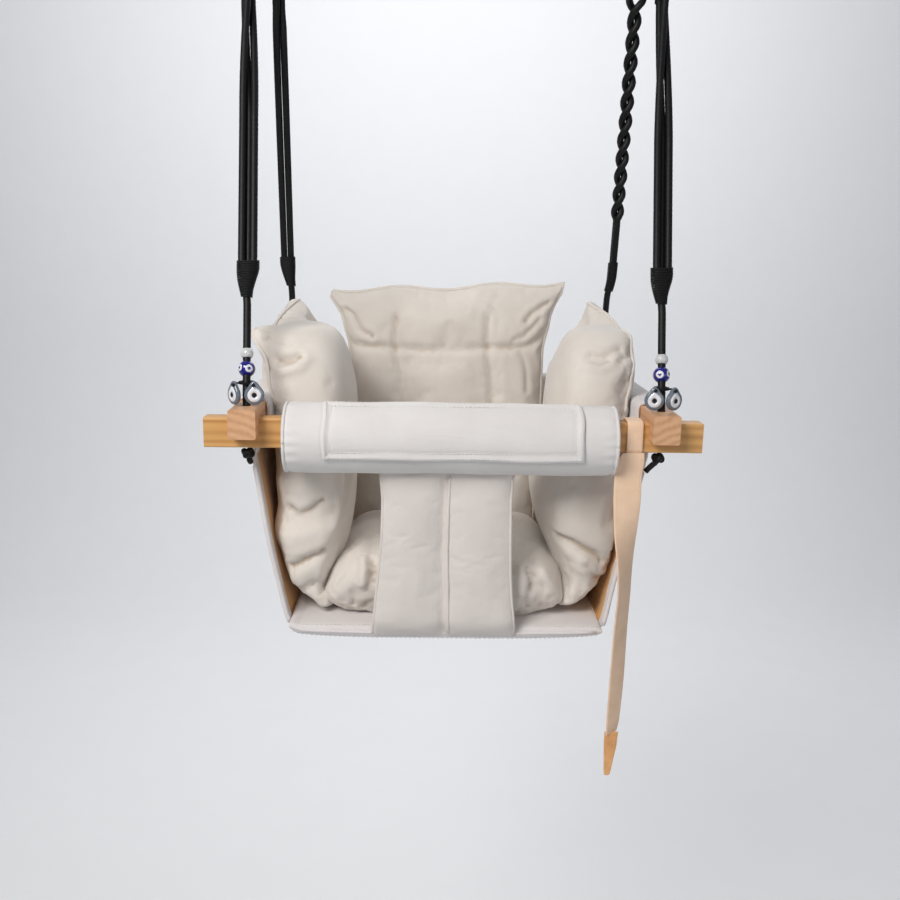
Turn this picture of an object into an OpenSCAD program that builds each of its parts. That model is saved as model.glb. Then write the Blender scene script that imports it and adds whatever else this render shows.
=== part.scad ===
// Hanging baby swing: a timber frame on four cords, a canvas sling, a puffy cushion and a padded guard.
// Millimetres, Z up, X to the right seen from the front, and the front faces -Y.
// The origin is on the ceiling, midway between the two ceiling plates.
// The seat is drawn about its own datum, seat_z below the ceiling: the top face of the front bar.

/* [Timber frame] */
// Length of the front bar
front_bar_l = 500; // [480:1:540]
// Length of the rear bar
rear_bar_l = 470; // [460:1:540]
// Depth of the front and rear bars, front to back
bar_w = 22; // [20:0.5:24]
// Height of the front and rear bars
bar_h = 30; // [28:0.5:32]
// Length of the side bars
side_l = 390; // [380:1:420]
// Width of the side bars
side_w = 27; // [24:0.5:28]
// Rounding of the bars' long edges
edge_r = 2; // [1:0.5:4]

/* [Guard roll] */
// Outer radius of the padded roll on the front bar
roll_r = 35.5; // [30:0.5:36]
// Thickness of the roll's canvas cover
cover_t = 1.6; // [1:0.1:2]
// Height of the sewn patch, as an angle round the roll
patch_angle = 110; // [80:5:120]

/* [Sling] */
// Thickness of the canvas
canvas_t = 2.5; // [2:0.1:3]
// Half the width of the seat base
base_half_w = 167; // [160:1:170]
// Thickness of the stiffening board in the base
board_t = 4; // [3:0.5:5]

/* [Crotch panel] */
// Width of the padded panel between the child's legs
crotch_w = 146; // [120:1:150]
// Thickness of the panel
crotch_t = 12; // [10:0.5:14]

/* [Cords and fittings] */
// Diameter of the cords
cord_d = 8; // [6:0.5:8]
// Diameter of the steel wire of the rings and the ceiling eyes
wire_d = 8; // [6:0.5:8]
// Distance between the two screws of one ceiling plate
screw_gap = 44; // [40:1:50]
// Radius of the screw holes
screw_r = 3.3; // [2.5:0.1:3.5]

/* [Hidden] */
$fn = 48;
seat_z = -510;
gap = 0.3;

// Frame: the side bars lie on the front and rear bars in half-lap joints.
cord_x = 208.5;
bar_y = 165;
side_top = 11;
side_h = 29;
lap_z = (side_top - side_h) / 2;
bore_r = cord_d / 2 + 0.6;

// Fittings at the ceiling: a plate with an eye, and a ring that swings in it.
ring_x = 208.5;
ring_half_w = 29;
ring_h = 34;
ring_corner = 8;
ring_low = 450;
pivot_z = ring_low + ring_h;
eye_hole_r = 8;
eye_z = pivot_z + eye_hole_r - wire_d / 2 - gap;
plate_t = 5;
plate_w = 30;

// Guard roll, crotch panel and strap.
roll_x = -4;
roll_half_l = 172;
roll_z = -20.5;
patch_half_l = 131;
patch_low_angle = -30;
crotch_x = -6;
crotch_y = -165;
strap_x = 182;
strap_w = 18;
strap_t = 2;
tail_y = -179.7;
tail_t = 1.8;
tail_top = -30;
tail_end = -335;

// Sling: two sides with sleeves for the side bars, a back with a sleeve, and a flat base.
base_low = -234;
base_t = board_t + 3;
base_front = -152;
base_back = 150;
sleeve_half_l = 130;
back_sleeve_half_l = 170;

// Beads: their centres lie on the front cord, which rises at a slant.
bead_foot = [208.5, -165, 11];
bead_head = [223.5, 0, 446];
white_bead_r = 6.5;
white_bead_z = 61;
blue_bead_r = 8.5;
blue_bead_z = 46;
eye_bead_r = 9.8;
eye_bead_t = 5;
eye_bead_z = 22.5;
collar_z = 33;
collar_y = -156.8;
eye_bead_front = -172.6;

// Routes of the right-hand cords from the knot up to the ring, over it and back down; the left ones mirror them.
FRONT_CORD = [
    [208.5, -165, -30.5], [208.5, -165, 11], [210.8, -140, 77], [212, -122, 125], [209.5, -108, 160],
    [212.2, -77, 243], [215.2, -46, 325], [217.1, -23, 385], [219.5, -13, 418], [223.5, -8.6, 446],
    [223.5, -6, 456], [223.5, 0, 458.6], [223.5, 6, 456], [223.5, 8.6, 446], [225.3, -5, 418],
    [225.8, -23, 385], [223.9, -46, 325], [220.9, -77, 243], [218.2, -108, 160], [221, -121, 128]];
REAR_CORD = [
    [208.5, 165, -30.5], [208.5, 165, 11], [203.5, 154, 40], [202.3, 142, 72], [199.5, 108, 161],
    [197, 77, 243], [194, 46, 325], [191, 23, 385], [191.5, 13, 418], [193.5, 8.6, 446],
    [193.5, 6, 456], [193.5, 0, 458.6], [193.5, -6, 456], [193.5, -8.6, 446], [197, 5, 418],
    [199.7, 23, 385], [202.7, 46, 325], [205.7, 77, 243], [208.2, 108, 161], [209.6, 125, 116]];

// Moves a piece of the seat from the seat's datum into the part's frame.
module on_seat() translate([0, 0, seat_z]) children();

// Draws a right-hand piece on the side s: 1 is the right, -1 the left.
module on_side(s) mirror([s < 0 ? 1 : 0, 0, 0]) children();

// --- Ceiling plates and rings ---

module plate_outline() {
    difference() {
        union() {
            square([plate_w, screw_gap], center = true);
            for (e = [-1, 1]) translate([0, e * screw_gap / 2]) circle(d = plate_w);
        }
        for (e = [-1, 1]) translate([0, e * screw_gap / 2]) circle(r = screw_r);
    }
}

module ceiling_plate(s) color("silver") {
    on_side(s) translate([ring_x, 0, 0]) {
        translate([0, 0, -plate_t]) linear_extrude(plate_t) plate_outline();
        translate([0, 0, -plate_t - 3]) cylinder(r = 7, h = 4);
        translate([0, 0, seat_z + eye_z]) rotate([0, 90, 0])
            rotate_extrude($fn = 64) translate([eye_hole_r + wire_d / 2, 0]) circle(d = wire_d, $fn = 24);
    }
}

// One corner of the ring, a quarter turn of wire in the XZ plane.
module ring_bend(x, z, turn) translate([x, 0, z]) rotate([90, turn, 0])
    rotate_extrude(angle = 90, $fn = 64) translate([ring_corner, 0]) circle(d = wire_d, $fn = 24);

module hanging_ring(s) color("gainsboro") on_seat() on_side(s) translate([ring_x, 0, ring_low]) {
    run_x = ring_half_w - ring_corner;
    run_z = ring_h - 2 * ring_corner;
    for (z = [0, ring_h]) translate([-run_x, 0, z]) rotate([0, 90, 0]) cylinder(d = wire_d, h = 2 * run_x, $fn = 24);
    for (x = [-1, 1]) translate([x * ring_half_w, 0, ring_corner]) cylinder(d = wire_d, h = run_z, $fn = 24);
    ring_bend(run_x, ring_h - ring_corner, 0);
    ring_bend(run_x, ring_corner, 90);
    ring_bend(-run_x, ring_corner, 180);
    ring_bend(-run_x, ring_h - ring_corner, 270);
}

// --- Cords ---

function unit(v) = v / norm(v);

// Direction of the route at point i, taken across its neighbours.
function heading(route, i) = unit(route[min(i + 1, len(route) - 1)] - route[max(i - 1, 0)]);

// One ring of points round the route; its first point lies on the X side, so neighbours line up.
function cord_ring(centre, along, r, sides) =
    let (across = unit(cross(cross(along, [1, 0, 0]), along)), other = cross(along, across))
    [for (k = [0 : sides - 1]) centre + r * (cos(k * 360 / sides) * across + sin(k * 360 / sides) * other)];

module cord_tube(route, r, sides = 8) {
    n = len(route);
    points = [for (i = [0 : n - 1]) each cord_ring(route[i], heading(route, i), r, sides)];
    walls = [for (i = [0 : n - 2], k = [0 : sides - 1])
        let (a = i * sides + k, b = i * sides + (k + 1) % sides) [a, a + sides, b + sides, b]];
    first = [for (k = [0 : sides - 1]) k];
    last = [for (k = [sides - 1 : -1 : 0]) (n - 1) * sides + k];
    polyhedron(points, concat([first], walls, [last]), convexity = 10);
}

module cord(route, s) color("black") on_seat() on_side(s) cord_tube(route, cord_d / 2);

// Thread wound round both strands where the cord's end is tied back.
module whipping(at, s) color("black") on_seat() on_side(s) translate(at)
    difference() {
        cube([23, 18, 12], center = true);
        cube([20, 14.6, 14], center = true);
    }

module stopper_knot(y, s) color("black") on_seat() on_side(s)
    translate([cord_x, y, -30.5]) rotate([180, 0, 0])
        rotate_extrude() {
            square([6.5, 3]);
            translate([0, 1.5]) square([8.5, 10]);
            translate([0, 10]) square([6.5, 5]);
        }

// --- Timber frame ---

module rounded_rect(w, h, r) {
    square([w - 2 * r, h], center = true);
    square([w, h - 2 * r], center = true);
    for (x = [-1, 1], y = [-1, 1]) translate([x * (w / 2 - r), y * (h / 2 - r)]) circle(r = r);
}

module cord_bore(y) translate([cord_x, y, -60]) cylinder(r = bore_r, h = 120);

module cross_bar(y, l) on_seat() difference() {
    translate([-l / 2, y, -bar_h / 2]) rotate([90, 0, 90]) linear_extrude(l) rounded_rect(bar_w, bar_h, edge_r);
    for (s = [-1, 1]) on_side(s) {
        translate([cord_x - side_w / 2, y - bar_w, lap_z]) cube([side_w, 2 * bar_w, bar_h]);
        cord_bore(y);
    }
}

module front_bar() color("burlywood") cross_bar(-bar_y, front_bar_l);
module rear_bar() color("burlywood") cross_bar(bar_y, rear_bar_l);

module side_bar(s) color("tan") on_seat() on_side(s) difference() {
    translate([cord_x, side_l / 2, side_top - side_h / 2]) rotate([90, 0, 0])
        linear_extrude(side_l) rounded_rect(side_w, side_h, edge_r);
    for (y = [-bar_y, bar_y]) {
        translate([cord_x - side_w, y - bar_w / 2, side_top - side_h - 1]) cube([2 * side_w, bar_w, lap_z - side_top + side_h + 1]);
        cord_bore(y);
    }
}

// --- Padded guard on the front bar ---

module bar_slot(l) cube([l, bar_w + 2 * gap, bar_h + 2 * gap], center = true);

module roll_body(r, half_l) translate([roll_x, -bar_y, roll_z]) rotate([0, 90, 0])
    cylinder(r = r, h = 2 * half_l, center = true, $fn = 96);

module guard_cover() color("linen") on_seat() difference() {
    roll_body(roll_r, roll_half_l);
    roll_body(roll_r - cover_t, roll_half_l - cover_t);
    translate([roll_x, -bar_y, -bar_h / 2]) bar_slot(4 * roll_half_l);
}

module guard_padding() color("lightyellow") on_seat() difference() {
    roll_body(roll_r - cover_t - gap, roll_half_l - cover_t - gap);
    translate([roll_x, -bar_y, -bar_h / 2]) bar_slot(4 * roll_half_l);
}

// Second layer of canvas sewn over the front of the roll.
module guard_patch() color("white") on_seat() translate([roll_x - patch_half_l, -bar_y, roll_z])
    rotate([-90 - patch_low_angle - patch_angle, 0, 0]) rotate([0, 90, 0])
        rotate_extrude(angle = patch_angle, $fn = 96)
            translate([roll_r + 0.1, 0]) square([1.2, 2 * patch_half_l]);

module crotch_panel() color("linen") on_seat() {
    top = roll_z - roll_r - gap;
    translate([crotch_x - crotch_w / 2, crotch_y - crotch_t / 2, base_low])
        cube([crotch_w, crotch_t, top - base_low]);
    translate([crotch_x - crotch_w / 2, crotch_y, base_low])
        cube([crotch_w, base_front - crotch_y, base_t]);
}

// --- Canvas sling ---

// Square canvas tube round a bar of the size w by h, running along Y.
module sleeve(w, h, half_l) rotate([90, 0, 0]) linear_extrude(2 * half_l, center = true) difference() {
    rounded_rect(w + 2 * (gap + canvas_t), h + 2 * (gap + canvas_t), edge_r + canvas_t);
    rounded_rect(w + 2 * gap, h + 2 * gap, edge_r + gap);
}

module sling_side(s) color("wheat") on_seat() on_side(s) {
    foot = base_low + base_t;
    top = side_top - side_h - gap - 1;
    translate([cord_x, 0, side_top - side_h / 2]) sleeve(side_w, side_h, sleeve_half_l);
    hull() {
        translate([cord_x - 5, -sleeve_half_l, top - 1]) cube([canvas_t, 2 * sleeve_half_l, 1]);
        translate([base_half_w - canvas_t, base_front + 2, foot]) cube([canvas_t, base_back - base_front - 2, 1]);
    }
}

module sling_back() color("wheat") on_seat() {
    top = -bar_h - gap - 1;
    foot = base_low + base_t;
    translate([0, bar_y, -bar_h / 2]) rotate([0, 0, 90]) sleeve(bar_w, bar_h, back_sleeve_half_l);
    hull() {
        translate([-185, bar_y - 6, top - 1]) cube([370, canvas_t, 1]);
        translate([-base_half_w + canvas_t + gap, base_back - canvas_t, foot])
            cube([2 * (base_half_w - canvas_t - gap), canvas_t, 1]);
    }
}

module sling_base() color("wheat") on_seat() difference() {
    translate([-base_half_w, base_front, base_low]) cube([2 * base_half_w, base_back - base_front, base_t]);
    translate([-base_half_w + 6, base_front + 6, base_low + 1.5])
        cube([2 * base_half_w - 12, base_back - base_front - 12, board_t]);
}

module base_board() color("peru") on_seat()
    translate([-base_half_w + 6 + gap, base_front + 6 + gap, base_low + 1.5])
        cube([2 * (base_half_w - 6 - gap), base_back - base_front - 12 - 2 * gap, board_t]);

// --- Cushions ---

module balls(centres) hull() for (c = centres) translate([c[0], c[1], c[2]]) sphere(r = c[3], $fn = 32);

module seat_cushion() color("antiquewhite") on_seat()
    balls([for (x = [-1, 1], y = [-114, 56]) each [[x * 106, y, -203, 23], [x * 88, y, -187, 23]]]);

module back_cushion() color("antiquewhite") on_seat()
    balls([for (x = [-1, 1]) each [
        [x * 106, 104, -203, 22], [x * 120, 108, 12, 25], [x * 106, 119, -200, 22], [x * 120, 116, 12, 26]]]);

module headrest_cushion() color("antiquewhite") on_seat()
    balls([for (x = [-1, 1]) each [[x * 123, 110, 67, 27], [x * 126, 113, 88, 25]]]);

module wing_cushion(s) color("antiquewhite") on_seat() on_side(s)
    balls([for (y = [-1, 1]) each [
        [150, -22 + y * 58, 50, 41], [145, -22 + y * 61, -60, 37], [146, -22 + y * 84, -186, 12]]]);

// --- Hanging strap ---

module strap_loop() color("burlywood") on_seat() difference() {
    outer_w = bar_w + 2 * (gap + strap_t);
    outer_h = bar_h + 2 * (gap + strap_t);
    translate([strap_x, -bar_y, -bar_h / 2]) cube([strap_w, outer_w, outer_h], center = true);
    translate([strap_x, -bar_y, -bar_h / 2]) bar_slot(2 * strap_w);
}

// Plate of thickness t in the XZ plane at the strap's tail.
module tail_plate(outline, t) translate([0, tail_y + t / 2, 0]) rotate([90, 0, 0]) linear_extrude(t) polygon(outline);

// Its top edge is round, on the line it swings about.
module strap_tail() color("burlywood") on_seat() {
    tail_plate([[169.5, tail_top], [190, tail_top], [191, -60], [193, -142], [184, -230], [182, -286],
        [178, tail_end], [164, tail_end], [167, -286], [163.5, -230], [167, -142], [169.5, -60]], tail_t);
    translate([169.5, tail_y, tail_top]) rotate([0, 90, 0]) cylinder(d = tail_t, h = 20.5);
}

module strap_tip() color("peru") on_seat()
    tail_plate([[163, tail_end], [179, tail_end], [179, -350], [174, -385], [167.5, -385], [163, -350]], 3.4);

// --- Beads on the front cords ---

function on_cord(z) = bead_foot + (bead_head - bead_foot) * (z - bead_foot[2]) / (bead_head[2] - bead_foot[2]);
bead_lean = bead_head - bead_foot;

// Turns Z onto the direction of the front cord.
module along_cord() rotate([0, acos(bead_lean[2] / norm(bead_lean)), atan2(bead_lean[1], bead_lean[0])])
    rotate([0, 0, -atan2(bead_lean[1], bead_lean[0])]) children();

module round_bead(z, r, s) on_seat() on_side(s) translate(on_cord(z)) along_cord() difference() {
    sphere(r = r);
    cylinder(r = cord_d / 2 + 0.6, h = 3 * r, center = true);
}

module white_bead(s) color("white") round_bead(white_bead_z, white_bead_r, s);
module blue_bead(s) color("navy") round_bead(blue_bead_z, blue_bead_r, s);

function eye_bead_x(outer) = on_cord(collar_z)[0] + (outer ? 10.2 : -9.7);

// Thread collar loose round the cord, with two short links that carry the flat beads.
module eye_thread(s) color("black") on_seat() on_side(s) {
    translate([on_cord(collar_z)[0], collar_y, collar_z]) difference() {
        cylinder(r = 8, h = 2.6, center = true);
        cylinder(r = 5.8, h = 4, center = true);
    }
    for (outer = [false, true]) {
        reach = outer ? 7 : -7;
        hull() for (x = [on_cord(collar_z)[0] + reach, eye_bead_x(outer)])
            translate([x, collar_y - 4, collar_z]) sphere(r = 1, $fn = 16);
        translate([eye_bead_x(outer), collar_y - 4, collar_z]) rotate([90, 0, 0]) cylinder(r = 1, h = 13);
        translate([eye_bead_x(outer), eye_bead_front - 2, collar_z]) sphere(r = 1.8, $fn = 24);
    }
}

module eye_bead(outer, s) color("white") on_seat() on_side(s)
    translate([eye_bead_x(outer), eye_bead_front + eye_bead_t, eye_bead_z]) rotate([90, 0, 0])
        linear_extrude(eye_bead_t) difference() {
            union() {
                circle(r = eye_bead_r);
                rotate(45) square(eye_bead_r);
            }
            translate([0, collar_z - eye_bead_z]) circle(r = 1.1);
        }

ceiling_plate(-1);  // left_ceiling_plate
ceiling_plate(1);  // right_ceiling_plate
hanging_ring(-1);  // left_ring
hanging_ring(1);  // right_ring
cord(FRONT_CORD, -1);  // front_left_cord
cord(FRONT_CORD, 1);  // front_right_cord
cord(REAR_CORD, -1);  // rear_left_cord
cord(REAR_CORD, 1);  // rear_right_cord
whipping([215.7, -117.4, 137], -1);  // front_left_whipping
whipping([215.7, -117.4, 137], 1);  // front_right_whipping
whipping([204.9, 118, 135], -1);  // rear_left_whipping
whipping([204.9, 118, 135], 1);  // rear_right_whipping
stopper_knot(-bar_y, -1);  // front_left_knot
stopper_knot(-bar_y, 1);  // front_right_knot
stopper_knot(bar_y, -1);  // rear_left_knot
stopper_knot(bar_y, 1);  // rear_right_knot
front_bar();
rear_bar();
side_bar(-1);  // left_side_bar
side_bar(1);  // right_side_bar
guard_cover();
guard_padding();
guard_patch();
crotch_panel();
sling_side(-1);  // sling_left_side
sling_side(1);  // sling_right_side
sling_back();
sling_base();
base_board();
seat_cushion();
back_cushion();
headrest_cushion();
wing_cushion(-1);  // left_wing_cushion
wing_cushion(1);  // right_wing_cushion
strap_loop();
strap_tail();
strap_tip();
white_bead(-1);  // left_white_bead
white_bead(1);  // right_white_bead
blue_bead(-1);  // left_blue_bead
blue_bead(1);  // right_blue_bead
eye_thread(-1);  // left_eye_thread
eye_bead(false, -1);  // left_inner_eye_bead
eye_bead(true, -1);  // left_outer_eye_bead
eye_thread(1);  // right_eye_thread
eye_bead(false, 1);  // right_inner_eye_bead
eye_bead(true, 1);  // right_outer_eye_bead
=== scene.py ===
"""Looks of the hanging baby swing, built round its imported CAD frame.

Seat coordinates: millimetres from the middle of the front bar's top face, Z up, the front facing -Y.
at() turns them into the part's own frame in metres.
"""

import math

import bpy
import numpy as np
from mathutils import Matrix, Vector
from mathutils.bvhtree import BVHTree


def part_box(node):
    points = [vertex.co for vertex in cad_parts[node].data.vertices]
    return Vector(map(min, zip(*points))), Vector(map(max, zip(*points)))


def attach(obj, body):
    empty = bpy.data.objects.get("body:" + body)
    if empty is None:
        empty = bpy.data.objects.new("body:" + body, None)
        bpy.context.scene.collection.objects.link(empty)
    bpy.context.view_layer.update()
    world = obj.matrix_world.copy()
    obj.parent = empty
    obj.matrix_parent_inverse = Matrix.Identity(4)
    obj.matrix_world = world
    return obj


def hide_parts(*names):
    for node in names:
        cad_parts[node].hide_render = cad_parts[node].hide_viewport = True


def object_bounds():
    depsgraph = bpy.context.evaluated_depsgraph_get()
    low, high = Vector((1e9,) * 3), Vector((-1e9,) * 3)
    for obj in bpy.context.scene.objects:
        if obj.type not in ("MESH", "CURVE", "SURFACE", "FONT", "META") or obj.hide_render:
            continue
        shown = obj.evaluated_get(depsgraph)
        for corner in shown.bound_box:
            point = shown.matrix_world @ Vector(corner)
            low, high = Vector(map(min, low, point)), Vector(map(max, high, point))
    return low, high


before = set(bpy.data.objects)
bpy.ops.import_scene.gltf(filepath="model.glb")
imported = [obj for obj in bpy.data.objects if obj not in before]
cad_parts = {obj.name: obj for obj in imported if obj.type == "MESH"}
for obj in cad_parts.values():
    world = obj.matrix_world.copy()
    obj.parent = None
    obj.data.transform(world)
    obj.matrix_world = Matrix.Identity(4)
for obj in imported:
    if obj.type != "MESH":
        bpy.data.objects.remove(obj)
CAD_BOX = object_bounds()

MM = 0.001
SEAT_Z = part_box("front_bar")[1][2]
DATUM = np.array([0, 0, SEAT_Z])
SIDES = {"left": -1, "right": 1}
TAU = 2 * math.pi


def at(x, y, z):
    """A seat point in millimetres, as a point of the part's frame in metres."""
    return Vector((x * MM, y * MM, z * MM + SEAT_Z))


def to_frame(points):
    """An array of seat points in millimetres, as points of the part's frame in metres."""
    return np.asarray(points, float) * MM + DATUM


def to_seat(points):
    """The other way: points of the part's frame in metres, as an array of seat points in millimetres."""
    return np.asarray(points, float) / MM - DATUM / MM


def distances(line):
    """How far along a line each of its points is."""
    return np.concatenate([[0], np.cumsum(np.linalg.norm(np.diff(line, axis=0), axis=1))])


def circle(count):
    """Angles once round, without the last."""
    return np.arange(count) * TAU / count


def squared(wave, power):
    """A sine or cosine with its size raised to a power: below 1 it squares off a circle."""
    return np.sign(wave) * np.abs(wave) ** power


def bell(away, width):
    """1 at 0, falling smoothly with distance."""
    return np.exp(-((away / width) ** 2))


def at_height(table, z):
    """The other columns of a table at heights z, by its first column."""
    return [np.interp(z, table[:, 0], column) for column in table.T[1:]]


def between(low, high, t):
    """The value at t on the way from low at -1 to high at 1."""
    return low + (high - low) * (t + 1) / 2


def smoothstep(x, low, high):
    t = np.clip((np.asarray(x, float) - low) / (high - low), 0, 1)
    return t * t * (3 - 2 * t)


# --- Camera and light ---

CAMERA_PLACE = (-30, -1135, 176.5)
CAMERA_YAW = 1.52
CAMERA_PITCH = -12.12
CAMERA_ROLL = 1.05
CAMERA_LENS = 39.14


def make_camera():
    data = bpy.data.cameras.new("camera")
    data.lens = CAMERA_LENS
    data.sensor_width = 36
    data.clip_end = 50
    camera = bpy.data.objects.new("camera", data)
    bpy.context.scene.collection.objects.link(camera)
    turn = (
        Matrix.Rotation(-math.radians(CAMERA_YAW), 4, "Z")
        @ Matrix.Rotation(math.radians(90 + CAMERA_PITCH), 4, "X")
        @ Matrix.Rotation(math.radians(CAMERA_ROLL), 4, "Z")
    )
    camera.matrix_world = Matrix.Translation(at(*CAMERA_PLACE)) @ turn
    bpy.context.scene.camera = camera


def area_light(name, place, target, size, power, colour):
    data = bpy.data.lights.new(name, "AREA")
    data.shape = "RECTANGLE"
    data.size, data.size_y = size
    data.energy = power
    data.color = colour
    light = bpy.data.objects.new(name, data)
    bpy.context.scene.collection.objects.link(light)
    place, target = Vector(place), Vector(target)
    light.matrix_world = Matrix.Translation(place) @ (target - place).to_track_quat("-Z", "Y").to_matrix().to_4x4()


def make_studio():
    world = bpy.data.worlds.new("studio")
    world.use_nodes = True
    background = world.node_tree.nodes["Background"]
    background.inputs["Color"].default_value = (0.93, 0.95, 1.0, 1)
    background.inputs["Strength"].default_value = 0.22
    bpy.context.scene.world = world
    middle = at(0, 0, -60)
    area_light("key", (-0.8, -1.25, 0.5), middle, (0.7, 0.7), 23.5, (1.0, 0.97, 0.93))
    area_light("fill", (1.3, -2.2, -0.3), middle, (1.6, 1.0), 8, (0.97, 0.98, 1.0))
    area_light("rim", (0.5, 1.7, 0.9), middle, (1.6, 0.9), 8, (1.0, 1.0, 1.0))
    area_light("backdrop", (0, 0.9, 1.3), (0, 3.1, -0.3), (2.4, 0.8), 50, (0.97, 0.98, 1.0))
    bpy.context.scene.view_settings.view_transform = "Standard"
    bpy.context.scene.view_settings.look = "None"


# --- Mesh tools ---


def new_mesh(name, points, faces, material=None):
    mesh = bpy.data.meshes.new(name)
    mesh.from_pydata([tuple(p) for p in points], [], [tuple(f) for f in faces])
    mesh.validate()
    mesh.update()
    mesh.polygons.foreach_set("use_smooth", [True] * len(mesh.polygons))
    piece = bpy.data.objects.new(name, mesh)
    bpy.context.scene.collection.objects.link(piece)
    if material is not None:
        mesh.materials.append(material)
    return piece


def vertex_values(mesh, field):
    flat = np.empty(len(mesh.vertices) * 3)
    mesh.vertices.foreach_get(field, flat)
    return flat.reshape(-1, 3)


def coordinates(piece):
    return vertex_values(piece.data, "co")


def normals(piece):
    return vertex_values(piece.data, "normal")


def seat_points(piece):
    return to_seat(coordinates(piece))


def set_coordinates(piece, points):
    piece.data.vertices.foreach_set("co", np.asarray(points, float).ravel())
    piece.data.update()


def apply_modifiers(piece):
    """Bakes the piece's modifiers into its mesh."""
    evaluated = piece.evaluated_get(bpy.context.evaluated_depsgraph_get())
    mesh = bpy.data.meshes.new_from_object(evaluated)
    old = piece.data
    piece.modifiers.clear()
    piece.data = mesh
    mesh.name = piece.name
    bpy.data.meshes.remove(old)
    mesh.polygons.foreach_set("use_smooth", [True] * len(mesh.polygons))


def modify(piece, kind, **values):
    """Adds one modifier and bakes it in."""
    modifier = piece.modifiers.new(kind.lower(), kind)
    for key, value in values.items():
        setattr(modifier, key, value)
    apply_modifiers(piece)


def remesh(piece):
    modify(piece, "REMESH", mode="VOXEL", voxel_size=4.5 * MM)


def relax_and_subdivide(piece):
    modify(piece, "SMOOTH", factor=0.5, iterations=1)
    subdivide(piece)


def subdivide(piece):
    modify(piece, "SUBSURF", levels=1, render_levels=1)


def grid_faces(rows, columns, closed=False):
    """Quads of a grid of points laid out row by row; closed joins each row's end to its start."""
    faces = []
    for i in range(rows - 1):
        for k in range(columns if closed else columns - 1):
            a, b = i * columns + k, i * columns + (k + 1) % columns
            faces.append((a, b, b + columns, a + columns))
    return faces


def closed_grid(name, rings, material=None):
    """A closed form from rings of points, each end filled with a fan round its middle."""
    rings = [np.asarray(r, float) for r in rings]
    rows, columns = len(rings), len(rings[0])
    points = np.concatenate(rings + [rings[0].mean(0)[None], rings[-1].mean(0)[None]])
    faces = grid_faces(rows, columns, closed=True)
    low, high = rows * columns, rows * columns + 1
    last = (rows - 1) * columns
    for k in range(columns):
        n = (k + 1) % columns
        faces.append((low, n, k))
        faces.append((high, last + k, last + n))
    return new_mesh(name, to_frame(points), faces, material)


def ring_grid(name, rings):
    """A form closed both ways: its last ring joins its first."""
    rings = [np.asarray(r, float) for r in rings]
    columns = len(rings[0])
    faces = grid_faces(len(rings) + 1, columns, closed=True)
    count = len(rings) * columns
    faces = [tuple(i % count for i in f) for f in faces]
    return new_mesh(name, to_frame(np.concatenate(rings)), faces)


def rim_order(rows, columns):
    """Indices round the edge of a grid."""
    return (list(range(columns)) + [i * columns + columns - 1 for i in range(1, rows)]
            + [(rows - 1) * columns + k for k in range(columns - 2, -1, -1)]
            + [i * columns for i in range(rows - 2, 0, -1)])


def leaf(name, columns, rows, middle, half, materials=(), fine_edge=False):
    """Two sheets that share their edge, each half(u, v) from the surface middle(u, v). u and v run from -1 to 1."""
    us, vs = np.linspace(-1, 1, columns), np.linspace(-1, 1, rows)
    if fine_edge:
        us, vs = np.sin(us * math.pi / 2), np.sin(vs * math.pi / 2)
    u, v = np.meshgrid(us, vs)
    centre = middle(u, v)
    along_u, along_v = np.gradient(centre, axis=1), np.gradient(centre, axis=0)
    across = np.cross(along_u, along_v)
    across /= np.maximum(np.linalg.norm(across, axis=-1), 1e-9)[..., None]
    reach = half(u, v)[..., None]
    points = np.concatenate([(centre + across * reach).reshape(-1, 3), (centre - across * reach).reshape(-1, 3)])
    count = rows * columns
    front = grid_faces(rows, columns)
    rim = rim_order(rows, columns)
    edge = [(b, a, a + count, b + count) for a, b in zip(rim, rim[1:] + rim[:1])]
    faces = front + [tuple(i + count for i in reversed(f)) for f in front] + edge
    piece = new_mesh(name, to_frame(points), faces)
    for material in materials:
        piece.data.materials.append(material)
    if len(materials) > 1:
        index = [0] * len(front) + [1] * len(front) + [0] * len(edge)
        piece.data.polygons.foreach_set("material_index", index)
    return piece


def both_faces(indices, count):
    """Points of a leaf's first face and the ones opposite, as a set of indices."""
    return {i + face for i in indices for face in (0, count)}


def rounded_edge(u, v, sharp, sharp_v=None, least=0.02):
    """1 over a leaf's middle, falling round to almost 0 at its edge."""
    across = np.sqrt(np.maximum(1 - np.abs(u) ** sharp, least))
    return across * np.sqrt(np.maximum(1 - np.abs(v) ** (sharp_v or sharp), least))


def path_at(path, share):
    """Points along a polyline at shares 0 to 1 of its length."""
    path = np.asarray(path, float)
    far = distances(path)
    share = np.asarray(share) * far[-1]
    return np.stack([np.interp(share, far, path[:, k]) for k in range(path.shape[1])], -1)


def stitches(line, step=4.2, length=2.7, radius=0.42, material="thread"):
    """A row of short thread loops along a line of seat points."""
    line = np.asarray(line, float)
    whole = distances(line)[-1]
    thick = np.array([0.45, 0.9, 1, 0.9, 0.45]) * radius
    pieces = []
    for k, start in enumerate(np.arange(1, whole - length, step)):
        run = path_at(line, (start + np.linspace(0, 1, 5) * length) / whole)
        pieces.append(tube(f"stitch_{k}", run, thick, 6, MATERIALS[material]))
    return join("stitch", pieces)


def long_stitches(line):
    return stitches(line, step=5.0, length=3.2)


def welt(name, piece, line, radius, material):
    """A piping cord laid on the surface of a piece near a line of seat points."""
    tree = skin(piece)
    run = []
    for spot in to_frame(catmull_rom(line, 4.0)):
        place, normal, _, _ = tree.find_nearest(Vector(spot))
        run.append(to_seat(place) + np.array(normal) * radius * 0.65)
    run = np.array(run)
    for _ in range(3):
        run[1:-1] = (run[:-2] + 2 * run[1:-1] + run[2:]) / 4
    size = np.full(len(run), float(radius))
    size[0] = size[-1] = radius * 0.5
    return tube(name, run, size, 10, material)


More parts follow.
